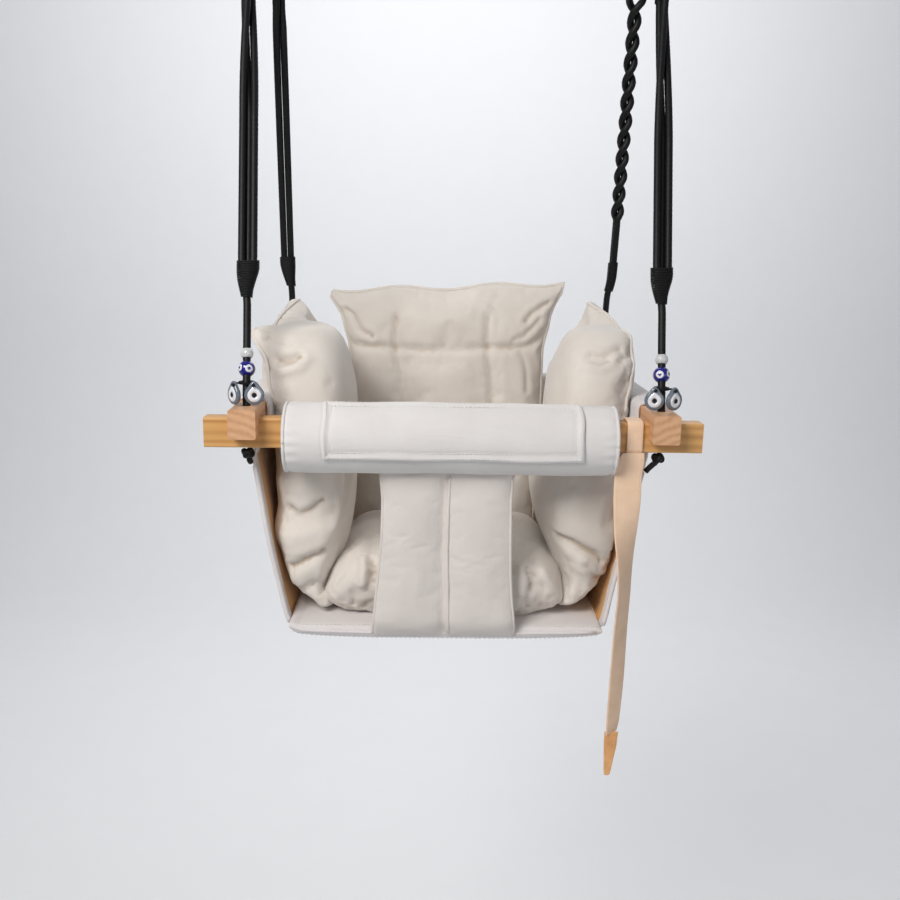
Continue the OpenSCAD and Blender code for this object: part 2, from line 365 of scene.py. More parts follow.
def catmull_rom(points, step):
    """A smooth line through the points, with a point about every step."""
    points = np.asarray(points, float)
    ends = np.concatenate([[2 * points[0] - points[1]], points, [2 * points[-1] - points[-2]]])
    line = []
    for i in range(1, len(ends) - 2):
        p0, p1, p2, p3 = ends[i - 1 : i + 3]
        count = max(2, int(round(np.linalg.norm(p2 - p1) / step)))
        for t in np.arange(count) / count:
            line.append(
                0.5 * (2 * p1 + (p2 - p0) * t + (2 * p0 - 5 * p1 + 4 * p2 - p3) * t**2
                       + (3 * p1 - p0 - 3 * p2 + p3) * t**3)
            )
    line.append(points[-1])
    return np.array(line)


def frames_along(line):
    """Unit side and up vectors along a line, turned as little as they can be."""
    tangents = np.gradient(line, axis=0)
    tangents /= np.linalg.norm(tangents, axis=1)[:, None]
    side = np.cross(tangents[0], [0.3, 0.9, 0.2])
    side /= np.linalg.norm(side)
    sides = []
    for t in tangents:
        side = side - t * side.dot(t)
        side /= np.linalg.norm(side)
        sides.append(side)
    sides = np.array(sides)
    return sides, np.cross(tangents, sides)


def tube(name, line, radius, columns=12, material=None, relief=None):
    """A closed tube along a line of seat points. relief(turn, distance) scales its radius."""
    line = np.asarray(line, float)
    sides, ups = frames_along(line)
    distance, turn = distances(line), circle(columns)
    rings = []
    for i, centre in enumerate(line):
        r = radius[i] if np.ndim(radius) else radius
        r = np.full(columns, r) if relief is None else r * relief(turn, distance[i])
        rings.append(centre + r[:, None] * (np.cos(turn)[:, None] * sides[i] + np.sin(turn)[:, None] * ups[i]))
    return closed_grid(name, rings, material)


def join(name, pieces):
    """One object from several, in their order."""
    points, faces, start = [], [], 0
    material = pieces[0].data.materials[0] if pieces[0].data.materials else None
    for piece in pieces:
        points.append(coordinates(piece))
        faces += [tuple(v + start for v in f.vertices) for f in piece.data.polygons]
        start += len(piece.data.vertices)
        mesh = piece.data
        bpy.data.objects.remove(piece)
        bpy.data.meshes.remove(mesh)
    return new_mesh(name, np.concatenate(points), faces, material)


# --- Materials ---


def feed(tree, node, inputs):
    """Sets inputs of a node: a socket is linked, and anything else is a value."""
    for key, value in inputs.items():
        if isinstance(value, bpy.types.NodeSocket):
            tree.links.new(value, node.inputs[key])
        else:
            node.inputs[key].default_value = value
    return node


def add(tree, kind, inputs, **settings):
    node = tree.nodes.new("ShaderNode" + kind)
    for key, value in settings.items():
        setattr(node, key, value)
    return feed(tree, node, inputs)


def node_material(name):
    """A new material, its node tree, its shader and the object coordinates."""
    material = bpy.data.materials.new(name)
    material.use_nodes = True
    tree = material.node_tree
    return material, tree, tree.nodes["Principled BSDF"], object_point(tree)


def object_point(tree, scale=(1, 1, 1), turn=(0, 0, 0)):
    """Object coordinates scaled and turned, as an output socket."""
    place = add(tree, "TexCoord", {}).outputs["Object"]
    return add(tree, "Mapping", {"Vector": place, "Scale": scale, "Rotation": turn}).outputs["Vector"]


def noise_at(tree, point, scale, detail, rough=0.55):
    return add(tree, "TexNoise", {"Vector": point, "Scale": scale, "Detail": detail, "Roughness": rough}).outputs["Fac"]


def ramp(tree, value, *stops):
    node = add(tree, "ValToRGB", {"Fac": value})
    elements = node.color_ramp.elements
    while len(elements) < len(stops):
        elements.new(0.5)
    for element, (place, colour) in zip(elements, stops):
        element.position = place
        element.color = (*colour, 1)
    return node.outputs["Color"]


def mapped(tree, value, low, high):
    return add(tree, "MapRange", {"Value": value, "To Min": low, "To Max": high}).outputs["Result"]


def bump(tree, height, strength, distance, before=None):
    node = add(tree, "Bump", {"Height": height, "Strength": strength, "Distance": distance})
    if before is not None:
        feed(tree, node, {"Normal": before})
    return node.outputs["Normal"]


def weave_height(tree, period):
    """Crossing threads on any face: the sum of a sine along each axis."""
    point = object_point(tree, (TAU / period,) * 3, (0.02, 0.03, 0.05))
    waves = add(tree, "VectorMath", {0: point}, operation="SINE")
    return add(tree, "VectorMath", {0: waves.outputs["Vector"], 1: (1, 1, 1)}, operation="DOT_PRODUCT").outputs["Value"]


def fabric(name, light, dark, period, sheen=0.3, crease_shade=(1, 1, 1)):
    """Woven cloth: threads, soft blotches, fine fibres in its bump, and painted shade in its creases: a darker tone
    where the surface is hollow.
    """
    material, tree, shader, point = node_material(name)
    blotch = ramp(tree, noise_at(tree, point, 28, 5), (0.3, dark), (0.7, light))
    pointiness = add(tree, "NewGeometry", {}).outputs["Pointiness"]
    # Painted shade: where pointiness is low, in hollows and folds, the colour is multiplied by the crease colour.
    folds = ramp(tree, pointiness, (0.42, crease_shade), (0.492, (1, 1, 1)))
    tone = add(tree, "Mix", {"Factor": 1}, data_type="RGBA", blend_type="MULTIPLY")
    feed(tree, tone, {6: blotch, 7: folds})
    threads = bump(tree, weave_height(tree, period), 0.2, 0.0002)
    fibres = bump(tree, noise_at(tree, point, 900, 3), 0.25, 0.0002, threads)
    feed(tree, shader, {
        "Base Color": tone.outputs[2],
        "Roughness": mapped(tree, noise_at(tree, point, 160, 3), 0.77, 0.9),
        "Normal": bump(tree, noise_at(tree, point, 70, 4), 0.3, 0.0012, fibres),
        "Sheen Weight": sheen, "Sheen Roughness": 0.5, "Specular IOR Level": 0.25,
    })
    return material


def stretched(along, across, lengthwise):
    """A scale that draws a texture out along one axis."""
    return tuple(lengthwise if axis == along else across for axis in range(3))


def wood(name, along, light, middle, dark):
    """Oiled hardwood with its grain along one axis: 0 for X, 1 for Y."""
    material, tree, shader, _ = node_material(name)
    grain = noise_at(tree, object_point(tree, stretched(along, 220, 6)), 1.0, 6, 0.6)
    rings = add(tree, "TexWave", {
        "Vector": object_point(tree, stretched(along, 26, 1.2)), "Scale": 1.4, "Distortion": 5.0, "Detail": 3.0,
    }, wave_type="RINGS", rings_direction="XYZ"[along])
    mix = add(tree, "Mix", {"Factor": 0.4, "A": grain, "B": rings.outputs["Fac"]}, data_type="FLOAT")
    feed(tree, shader, {
        "Base Color": ramp(tree, mix.outputs["Result"], (0.25, dark), (0.5, middle), (0.75, light)),
        "Roughness": mapped(tree, grain, 0.42, 0.62),
        "Normal": bump(tree, grain, 0.25, 0.0004),
        "Coat Weight": 0.12, "Coat Roughness": 0.35,
    })
    return material


def leather(name, light, dark):
    material, tree, shader, point = node_material(name)
    cells = add(tree, "TexVoronoi", {"Vector": point, "Scale": 900})
    grain = bump(tree, cells.outputs["Distance"], 0.25, 0.0003)
    feed(tree, shader, {
        "Base Color": ramp(tree, noise_at(tree, point, 55, 5), (0.3, dark), (0.7, light)),
        "Roughness": mapped(tree, noise_at(tree, point, 90, 3), 0.45, 0.65),
        "Normal": bump(tree, noise_at(tree, point, 180, 4), 0.3, 0.0006, grain),
    })
    return material


def metal(name, colour):
    material, tree, shader, point = node_material(name)
    brushed = noise_at(tree, object_point(tree, (300, 300, 2500)), 1.0, 3)
    feed(tree, shader, {
        "Base Color": (*colour, 1), "Metallic": 1,
        "Roughness": mapped(tree, noise_at(tree, point, 120, 5), 0.25, 0.45),
        "Normal": bump(tree, brushed, 0.08, 0.0002),
    })
    return material


def cord_material(name, rough):
    material, tree, shader, point = node_material(name)
    dark, light = (0.003, 0.003, 0.0035), (0.009, 0.009, 0.0105)
    feed(tree, shader, {
        "Base Color": ramp(tree, noise_at(tree, point, 350, 4), (0.3, dark), (0.75, light)),
        "Roughness": mapped(tree, noise_at(tree, point, 500, 2), rough, rough + 0.15),
        "Normal": bump(tree, noise_at(tree, point, 1400, 3), 0.35, 0.0003),
        "Specular IOR Level": 0.28,
    })
    return material


def glass(name, colour, transmission, rough):
    material, tree, shader, point = node_material(name)
    deep = tuple(c * 0.9 for c in colour)
    feed(tree, shader, {
        "Base Color": ramp(tree, noise_at(tree, point, 220, 3), (0.35, deep), (0.7, colour)),
        "Roughness": mapped(tree, noise_at(tree, point, 300, 2), rough, rough + 0.08),
        "Transmission Weight": transmission, "IOR": 1.5, "Coat Weight": 0.6, "Coat Roughness": 0.05,
    })
    return material


MATERIALS = {
    # The cushion's crease colour (0.6, 0.5, 0.4) is painted shade, darkening its folds and crevices.
    "cushion": fabric("cushion_cotton", (0.78, 0.73, 0.675), (0.72, 0.665, 0.605), 0.0009, crease_shade=(0.6, 0.5, 0.4)),
    "canvas": fabric("guard_canvas", (0.775, 0.755, 0.745), (0.735, 0.71, 0.70), 0.001),
    "panel": fabric("panel_canvas", (0.775, 0.725, 0.685), (0.73, 0.68, 0.64), 0.001),
    "sling": fabric("sling_canvas", (0.79, 0.755, 0.755), (0.74, 0.70, 0.70), 0.0012),
    "lining": fabric("sling_lining", (0.86, 0.455, 0.13), (0.71, 0.36, 0.10), 0.0012),
    "thread": fabric("sewing_thread", (0.86, 0.83, 0.80), (0.78, 0.75, 0.72), 0.0006, sheen=0.1),
    "cross_wood": wood("cross_bar_wood", 0, (0.70, 0.39, 0.138), (0.635, 0.34, 0.112), (0.52, 0.255, 0.08)),
    "side_wood": wood("side_bar_wood", 1, (0.72, 0.425, 0.24), (0.67, 0.38, 0.207), (0.58, 0.31, 0.158)),
    "strap": leather("strap_leather", (0.93, 0.68, 0.485), (0.84, 0.59, 0.41)),
    "tip": leather("tip_leather", (0.90, 0.49, 0.21), (0.70, 0.34, 0.13)),
    "steel": metal("zinc_steel", (0.62, 0.63, 0.65)),
    "cord": cord_material("black_cord", 0.42),
    "whipping": cord_material("black_thread", 0.5),
    "clear": glass("clear_bead_glass", (0.93, 0.94, 0.95), 0.35, 0.06),
    "blue": glass("blue_bead_glass", (0.012, 0.012, 0.22), 0.0, 0.06),
    "grey_glass": glass("grey_bead_glass", (0.17, 0.21, 0.26), 0.1, 0.08),
    "white_glass": glass("white_bead_glass", (0.88, 0.89, 0.95), 0.0, 0.08),
    "black_glass": glass("black_bead_glass", (0.01, 0.01, 0.015), 0.0, 0.06),
}


def dress(piece, material, body, nodes=()):
    """Gives a piece its material and its body, and hides the CAD nodes it stands for."""
    if not piece.data.materials:
        piece.data.materials.append(MATERIALS[material])
    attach(piece, body)
    if nodes:
        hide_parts(*nodes)
    return piece


# --- Cords, in the order of the work: the camera and the cords come first ---

# Routes of the right-hand cords, as in the CAD source, in metres from the seat's datum and then in millimetres.
FRONT_CORD = 1000 * np.array([
    (0.2085, -0.165, -0.0305), (0.2085, -0.165, 0.011), (0.2108, -0.140, 0.077), (0.212, -0.122, 0.125),
    (0.2095, -0.108, 0.160), (0.2122, -0.077, 0.243), (0.2152, -0.046, 0.325), (0.2171, -0.023, 0.385),
    (0.2195, -0.013, 0.418), (0.2235, -0.0086, 0.446), (0.2235, -0.006, 0.456), (0.2235, 0, 0.4586),
    (0.2235, 0.006, 0.456), (0.2235, 0.0086, 0.446), (0.2253, -0.005, 0.418), (0.2258, -0.023, 0.385),
    (0.2239, -0.046, 0.325), (0.2209, -0.077, 0.243), (0.2182, -0.108, 0.160), (0.221, -0.121, 0.128)])
REAR_CORD = 1000 * np.array([
    (0.2085, 0.165, -0.0305), (0.2085, 0.165, 0.011), (0.2035, 0.154, 0.040), (0.2023, 0.142, 0.072),
    (0.1995, 0.108, 0.161), (0.197, 0.077, 0.243), (0.194, 0.046, 0.325), (0.191, 0.023, 0.385),
    (0.1915, 0.013, 0.418), (0.1935, 0.0086, 0.446), (0.1935, 0.006, 0.456), (0.1935, 0, 0.4586),
    (0.1935, -0.006, 0.456), (0.1935, -0.0086, 0.446), (0.197, 0.005, 0.418), (0.1997, 0.023, 0.385),
    (0.2027, 0.046, 0.325), (0.2057, 0.077, 0.243), (0.2082, 0.108, 0.161), (0.2096, 0.125, 0.116)])
CORD_D, CORD_X, RING_Z, RING_SPREAD = 8.0, 208.5, 446.0, 8.6
# Heights: where the strand that comes down ends, inside the whipping, and the ends of the front cords' tails.
STRANDS_END, TAIL_LOW, TAIL_HIGH = 133, 134, 438
WHIPPING_LOW, WHIPPING_HEIGHT = 116, 36
# For each cord: its route, its side, how far its strands lie from their middle, half the width and depth of its
# whipping's top, and how the strands wind: heights and turns in degrees. At 90 degrees one strand is behind the
# other, and at 180 they lie side by side.
CORDS = {
    "front_left": (FRONT_CORD, -1, 6.0, (10.9, 7.9), [(118, 0), (300, 0), (446, -90)]),
    "front_right": (FRONT_CORD, 1, 6.0, (10.9, 7.9), [(118, 180), (285, 180), (446, 270)]),
    "rear_left": (REAR_CORD, -1, 4.1, (8.9, 5.4), [(116, 165), (300, 175), (400, 150), (446, 90)]),
    "rear_right": (REAR_CORD, 1, 4.1, (5.2, 8.9), [(116, 90), (205, 90), (446, 2250)]),
}
# Direction and length of a knot's tail on each side.
KNOT_TAILS = {-1: (0.3, 0.95, 6), 1: (-0.95, -0.3, 14)}


def strand_middle(route, z):
    """The middle between a cord's strands at height z: on a straight line from its bar to its ring."""
    foot, head = route[1], np.array([route[11, 0], 0, RING_Z])
    return foot + np.multiply.outer((z - foot[2]) / (head[2] - foot[2]), head - foot)


def converge(z):
    """The strands draw together where they go into the whipping."""
    return 0.55 + 0.45 * smoothstep(z, 126, 156)


def twisted_route(route, spread, winding):
    """The cord's route with its doubled strands wound round each other, in seat millimetres."""
    line = catmull_rom(route, 2.0)
    top = int(np.argmax(line[:, 2]))
    heights, turns = np.array(winding, float).T
    low = heights[0] - 12
    out, last = line.copy(), len(line)
    for i, (_, _, z) in enumerate(line):
        if z < low or z > RING_Z:
            continue
        if i > top and z < STRANDS_END:
            last = min(last, i)
            continue
        angle = math.radians(float(np.interp(z, heights, turns))) + (0 if i < top else math.pi)
        apart = (spread + (RING_SPREAD - spread) * float(smoothstep(z, 415, RING_Z))) * float(converge(z))
        wound = strand_middle(route, z) + np.array([apart * math.cos(angle), apart * math.sin(angle), 0])
        ease = float(smoothstep(z, low, low + 34)) if i < top else 1.0
        out[i] = line[i] * (1 - ease) + wound * ease
    return catmull_rom(out[:last:2], 1.5)


def tail_strand(name, route, side, winding):
    """The cord's own tail, turned up at the whipping and laid behind the two strands up to the ring."""
    heights, turns = np.array(winding, float).T
    zs = np.linspace(TAIL_LOW, TAIL_HIGH, 80)
    angle = np.radians(np.interp(zs, heights, turns) + 90 * (1 if turns[0] < 90 else -1))
    apart = (5.5 * converge(zs))[:, None]
    line = strand_middle(route, zs) + apart * np.stack([np.cos(angle), np.sin(angle), 0 * angle], 1)
    line[:, 0] *= side
    strand = tube(name, line, CORD_D / 2, 24, MATERIALS["cord"], braid)
    t = np.linspace(0, 5 * TAU, 120)
    ring = line[-2] + np.stack([4.5 * np.cos(t), 4.5 * np.sin(t), t / TAU * 1.5 - 4], 1)
    return join(name, [strand, tube("end_thread", ring, 0.75, 8, MATERIALS["whipping"])])


def braid(turn, distance):
    """Relief of a round braid: two sets of strands that cross."""
    along = distance * TAU / 11
    return 0.93 + 0.07 * np.sqrt(np.abs(np.cos(4 * turn + along) * np.cos(4 * turn - along)))


def overhand_knot(name, x, y, tail):
    """A tight stopper knot under its bar, with a short tail."""
    t = np.linspace(0, TAU, 90)
    loop = np.stack([np.sin(t) + 2 * np.sin(2 * t), np.cos(t) - 2 * np.cos(2 * t), -np.sin(3 * t)], 1)
    loop = loop * np.array([1.5, 1.5, 2.3]) + np.array([x, y, -37.5])
    body = tube(name + "_loop", loop, 2.9, 14, MATERIALS["cord"], braid)
    dx, dy, reach = tail
    steps = [(0, -38), (3, -42), (reach * 0.6, -46), (reach, -46 - 0.35 * reach)]
    line = catmull_rom([(x + dx * far, y + dy * far, z) for far, z in steps], 1.0)
    return join(name, [body, tube(name + "_tail", line, 3.0, 14, MATERIALS["cord"], braid)])


def whipping_coil(name, rise, middle, size):
    """Waxed thread wound round the strands and down onto the single cord. rise is the cord's way up, middle gives
    the strands' middle, and size is half the coil's width and depth at its top."""
    turns, single = 22, 4.9
    t = np.linspace(0, turns * TAU, turns * 32)
    z = WHIPPING_LOW + WHIPPING_HEIGHT * t / t[-1]
    share = smoothstep(z, 112, 146)[:, None]
    cord = np.stack([np.interp(z, rise[:, 2], rise[:, k]) for k in (0, 1)], 1)
    centre = cord * (1 - share) + middle(z)[:, :2] * share
    half = single + (np.array(size) - single) * share
    around = np.stack([np.cos(t), np.sin(t)], 1)
    line = np.column_stack([centre + half * squared(around, 0.8), z])
    return tube(name, line, 0.85, 8, MATERIALS["whipping"])


def make_cords():
    for name, (route, side, spread, size, winding) in CORDS.items():
        front = "front" in name
        line = twisted_route(route, spread, winding)
        line[:, 0] *= side
        cord = tube("cord_" + name, line, CORD_D / 2, 28, MATERIALS["cord"], braid)
        dress(cord, "cord", "seat", [name + "_cord"])
        knot = overhand_knot("knot_" + name, side * CORD_X, route[0, 1], KNOT_TAILS[side])
        dress(knot, "cord", "seat", [name + "_knot"])
        rise = line[: int(np.argmax(line[:, 2]))]
        coil = whipping_coil("whipping_" + name, rise[rise[:, 2] > 90],
                             lambda z: strand_middle(route, z) * [side, 1, 1] + [0, 2.7 * front, 0], size)
        on_it = [knot, dress(coil, "whipping", "seat", [name + "_whipping"])]
        if front:
            on_it.append(dress(tail_strand("tail_" + name, route, side, winding), "cord", "seat"))


make_camera()
make_studio()
make_cords()

# --- Soft pieces ---


def nearest(points, path, reach):
    """For the points within reach of a path: their indices, their distances from it and the path's nearest points."""
    low, high = path.min(0) - reach, path.max(0) + reach
    close = np.nonzero(((points > low) & (points < high)).all(1))[0]
    away, index = np.empty(len(close)), np.empty(len(close), int)
    batch = 4000
    for start in range(0, len(close), batch):
        part = slice(start, start + batch)
        gaps = np.linalg.norm(points[close[part]][:, None, :] - path[None, :, :], axis=2)
        away[part], index[part] = gaps.min(1), gaps.argmin(1)
    return close, away, index


def near_line(points, line):
    """Distance of each point from a smooth line, in millimetres, where it is within 45 of it."""
    best = np.full(len(points), 1e9)
    close, away, _ = nearest(points, catmull_rom(line, 1.5), 45)
    best[close] = away
    return best


def skin(piece):
    faces = [tuple(f.vertices) for f in piece.data.polygons]
    return BVHTree.FromPolygons([Vector(p) for p in coordinates(piece)], faces)


def snap(tree, line):
    """A line of seat points moved onto the nearest skin."""
    spots = [tree.find_nearest(Vector(p))[0] for p in to_frame(catmull_rom(line, 4.0))]
    return to_seat([tuple(p) for p in spots])


def push(piece, marks):
    """Moves a piece's skin along its normals near each mark: (line, width, height). Below 0 is a tuck."""
    points, outward, tree = seat_points(piece), normals(piece), skin(piece)
    total = np.zeros(len(points))
    for line, width, height in marks:
        away = near_line(points, snap(tree, line))
        total += height * bell(away, width)
        if height < 0:
            total -= 0.35 * height * bell(away - 2.3 * width, 1.1 * width)
    set_coordinates(piece, to_frame(points + outward * total[:, None]))


def gather(piece, line, reach, depth, spacing, seed):
    """Puckers that run away from a sewn line, uneven in spacing and length."""
    path = catmull_rom(snap(skin(piece), line), 1.5)
    points, outward = seat_points(piece), normals(piece)
    close, away, index = nearest(points, path, 2.2 * reach)
    phase = distances(path)[index] * TAU / spacing
    wave = np.sin(phase + 1.3 * np.sin(phase * 0.37 + seed)) + 0.5 * np.sin(phase * 1.83 + 2.1 * seed)
    length = reach * (0.75 + 0.35 * np.sin(phase * 0.61 + seed * 1.7))
    total = np.zeros(len(points))
    total[close] = depth * wave * bell(away, length) * smoothstep(away, 0, 0.25 * reach)
    set_coordinates(piece, to_frame(points + outward * total[:, None]))


def sink(points, outward, tucks):
    """Sinks tucks into a skin along lines of seat points. Gives the new points and the ones to hold."""
    pinned = set()
    for line in tucks:
        away = near_line(points, line)
        points = points - outward * (4.5 * bell(away, 8.5))[:, None]
        pinned |= set(np.nonzero(away < 3.0)[0].tolist())
    return points, pinned


CLOTH_FRAMES = 20
CLOTH = {
    "quality": 6, "mass": 0.2, "tension_stiffness": 12, "compression_stiffness": 12, "shear_stiffness": 6,
    "bending_stiffness": 0.12, "use_pressure": True, "vertex_group_mass": "pins",
}


def simulate(piece, pins, pressure, slack, cap, deflate):
    """Inflates a closed piece as cloth, holding the pinned points. Then it takes back most of the even swelling,
    so the piece keeps its size and its wrinkles, and keeps each point within cap."""
    scene = bpy.context.scene
    rest = coordinates(piece)
    piece.vertex_groups.new(name="pins").add(pins, 1.0, "REPLACE")
    cloth = piece.modifiers.new("cloth", "CLOTH")
    settings = cloth.settings
    for key, value in CLOTH.items():
        setattr(settings, key, value)
    settings.uniform_pressure_force = pressure
    settings.shrink_min = -slack
    settings.effector_weights.gravity = 0
    cloth.collision_settings.use_collision = False
    cloth.collision_settings.use_self_collision = False
    cloth.point_cache.frame_start = 1
    cloth.point_cache.frame_end = CLOTH_FRAMES
    for number in range(1, CLOTH_FRAMES + 1):
        scene.frame_set(number)
    evaluated = piece.evaluated_get(bpy.context.evaluated_depsgraph_get())
    moved = vertex_values(evaluated.data, "co") - rest
    piece.modifiers.clear()
    scene.frame_set(1)
    outward = normals(piece)
    swell = (moved * outward).sum(1)
    usual = max(float(np.median(swell)), 1e-6)
    moved -= outward * (usual * deflate * np.clip(swell / usual, 0, 1))[:, None]
    size = np.linalg.norm(moved, axis=1)
    limit = np.minimum(1, cap * MM / np.maximum(size, 1e-9))
    set_coordinates(piece, rest + moved * limit[:, None])


def level_pad(name, levels, shape):
    """A closed pad from levels (z, outer x, inner x, front y, back y), moved by shape. Its outer side is squarer."""
    levels = catmull_rom(levels, 5.0)
    turn = circle(52)
    power = 2 / np.where(np.cos(turn) > 0, 5.0, 3.0)
    across, deep = squared(np.cos(turn), power), squared(np.sin(turn), power)
    rings = []
    for z, outer, inner, front, back in levels:
        x = (outer + inner) / 2 + (outer - inner) / 2 * across
        y = (front + back) / 2 + (back - front) / 2 * deep
        move_x, move_z = shape(z, across, deep)
        rings.append(np.stack([x + move_x, y, z + move_z], 1))
    return closed_grid(name, rings)


# Wings, by level from the top: z, |x| outside, |x| inside, front y, back y.
WINGS = {
    "left": [
        (83, 180, 154, -34, 48), (82, 198, 140, -66, 70), (77, 206, 129, -86, 82), (66, 209, 120, -100, 88),
        (46, 205, 113, -110, 90), (20, 201, 110, -116, 92), (-20, 192, 109, -121, 90), (-70, 187, 110, -127, 88),
        (-105, 186, 111, -130, 86), (-140, 185, 116, -132, 84), (-168, 181, 123, -133, 82), (-186, 172, 129, -132, 80),
        (-200, 162, 129, -130, 76), (-212, 150, 124, -126, 68), (-222, 141, 122, -118, 56), (-226, 135, 126, -80, 30)],
    "right": [
        (84, 172, 150, -34, 48), (83, 185, 140, -66, 70), (79, 193, 130, -86, 82), (67, 197, 121, -100, 88),
        (46, 197, 113, -110, 90), (20, 194, 109, -116, 92), (-20, 191, 106, -121, 90), (-70, 189, 104, -127, 88),
        (-105, 186, 100, -130, 86), (-140, 182, 107, -132, 84), (-165, 174, 118, -133, 82), (-184, 164, 123, -132, 80),
        (-198, 153, 122, -130, 76), (-210, 142, 116, -126, 68), (-219, 132, 112, -118, 56), (-223, 126, 116, -80, 30)],
}
# Points where a wing's cover is drawn out to a corner: place, direction and distance, reach.
WING_CORNERS = {
    "left": [((-205, -78, 76), (-12, -6, 3), 20), ((-184, 62, 90), (-4, 4, 10), 16)],
    "right": [((160, 60, 92), (2, 4, 17), 18)],
}
# Tucks held while the cover is inflated: lines of seat points.
WING_TUCKS = {
    "left": [
        [(-190, -84, 40), (-184, -104, 46), (-165, -112, 55)],
        [(-178, -131, -111), (-165, -134, -116), (-150, -134, -112), (-138, -132, -104)],
        [(-176, -132, -172), (-165, -134, -167), (-150, -134, -159), (-134, -131, -155)],
        [(-150, 20, 84), (-138, 30, 78), (-122, 34, 56)],
    ],
    "right": [
        [(190, -84, 62), (176, -106, 58), (158, -112, 52), (138, -110, 55)],
        [(100, -100, -138), (112, -126, -140), (130, -132, -142), (148, -133, -149), (162, -130, -162)],
        [(150, 20, 90), (138, 30, 84), (122, 34, 66)],
    ],
}
# Folds shaped after that: line, width, height.
WING_FOLDS = {
    "left": [
        ([(-186, -108, 50), (-176, -112, 50), (-165, -113, 56)], 4.0, -3.4),
        ([(-190, -106, 40), (-178, -113, 42), (-158, -114, 54)], 7.0, 3.2),
        ([(-188, -110, -80), (-168, -134, -82), (-142, -134, -78)], 15, 3.2),
        ([(-180, -131, -110), (-165, -134, -116), (-150, -134, -112), (-136, -132, -102)], 3.8, -3.4),
        ([(-188, -100, -138), (-166, -134, -138), (-142, -134, -130)], 16, 4.6),
        ([(-178, -131, -173), (-165, -134, -167), (-150, -134, -159), (-132, -130, -155)], 3.8, -3.4),
        ([(-178, -120, -190), (-158, -134, -184), (-142, -134, -176)], 10, 3.6),
        ([(-160, -130, -200), (-146, -132, -190)], 3.6, -1.8),
        ([(-200, -80, 70), (-184, -96, 66), (-172, -104, 68)], 4.5, -2.0),
        ([(-172, -108, 70), (-160, -112, 44)], 6.0, 1.6),
        ([(-112, -112, -60), (-112, -124, -96), (-118, -128, -128)], 6.0, 3.0),
    ],
    "right": [
        ([(174, -108, 60), (158, -114, 50), (142, -114, 53)], 5.0, 3.6),
        ([(178, -106, 68), (160, -112, 60), (142, -112, 62)], 4.0, -2.4),
        ([(104, -116, -138), (118, -130, -140), (134, -134, -143), (150, -134, -150), (166, -130, -163)],
         4.0, -4.2),
        ([(112, -128, -122), (134, -134, -120), (158, -134, -132)], 14, 3.6),
        ([(124, -132, -158), (142, -134, -164), (152, -134, -174)], 10, 4.2),
        ([(147, -134, -166), (160, -130, -182), (168, -110, -186)], 3.6, -3.0),
        ([(122, -132, -170), (128, -134, -194)], 7.0, 3.0),
        ([(136, -134, -176), (142, -132, -204)], 4.5, -2.2),
        ([(188, -90, 40), (180, -108, 20)], 5.0, -1.6),
    ],
}
# The sewn edge of each wing on its outer side, from the rear top over the front corner to the tail.
WING_EDGES = {
    "left": [
        (-184, 64, 100), (-196, 20, 92), (-204, -30, 86), (-216, -80, 79), (-208, -98, 58), (-202, -106, 30),
        (-194, -111, 0), (-187, -119, -60), (-185, -124, -110), (-183, -126, -150), (-172, -126, -184),
        (-160, -124, -202), (-146, -118, -216)],
    "right": [
        (160, 62, 108), (184, 20, 92), (191, -30, 87), (195, -80, 76), (198, -96, 56), (196, -104, 30),
        (192, -111, 0), (188, -119, -60), (184, -124, -110), (180, -126, -148), (165, -126, -182),
        (152, -124, -200), (138, -118, -214)],
}


def make_wing(word, side):
    """A wing: an inflated pad with its corners drawn out, tucks, folds, gathers and a piped edge."""

    def shape(z, across, deep):
        """Moves in x and z: the rear is thinner, and its top is higher outside than inside."""
        high = float(smoothstep(z, 10, 84))
        inner, rear = smoothstep(-across, -0.6, 0.9), smoothstep(deep, -0.5, 0.7)
        narrow = 15.0 if side < 0 else 2 + 12 * float(smoothstep(z, -80, 0))
        return side * narrow * smoothstep(-across, -0.2, 1) * rear, (12 - 24 * inner) * rear * high

    levels = [(z, side * outer, side * inner, front, back) for z, outer, inner, front, back in WINGS[word]]
    wing = level_pad(word + "_wing", levels, shape)
    remesh(wing)
    points = seat_points(wing)
    for place, move, reach in WING_CORNERS[word]:
        away = np.linalg.norm(points - np.array(place), axis=1)
        points = points + np.array(move) * bell(away, reach)[:, None]
    set_coordinates(wing, to_frame(points))
    points, pinned = sink(points, normals(wing), WING_TUCKS[word])
    pinned |= set(np.nonzero(near_line(points, WING_EDGES[word][:9]) < 4.0)[0].tolist())
    set_coordinates(wing, to_frame(points))
    simulate(wing, sorted(pinned), pressure=3.5, slack=0.03, cap=6, deflate=0.85)
    relax_and_subdivide(wing)
    push(wing, WING_FOLDS[word])
    gather(wing, WING_EDGES[word], 15, 0.6, 19, 1.0 + side)
    edge = welt(word + "_wing_piping", wing, WING_EDGES[word][:7], 1.7, MATERIALS["cushion"])
    dress(join(word + "_wing", [wing, edge]), "cushion", "seat", [word + "_wing_cushion"])


BACK_LOW, BACK_HIGH = -222.0, 118.0
# Depth of the back cushion's front face and of its middle.
BACK_FRONT, BACK_MIDDLE = 84, 108
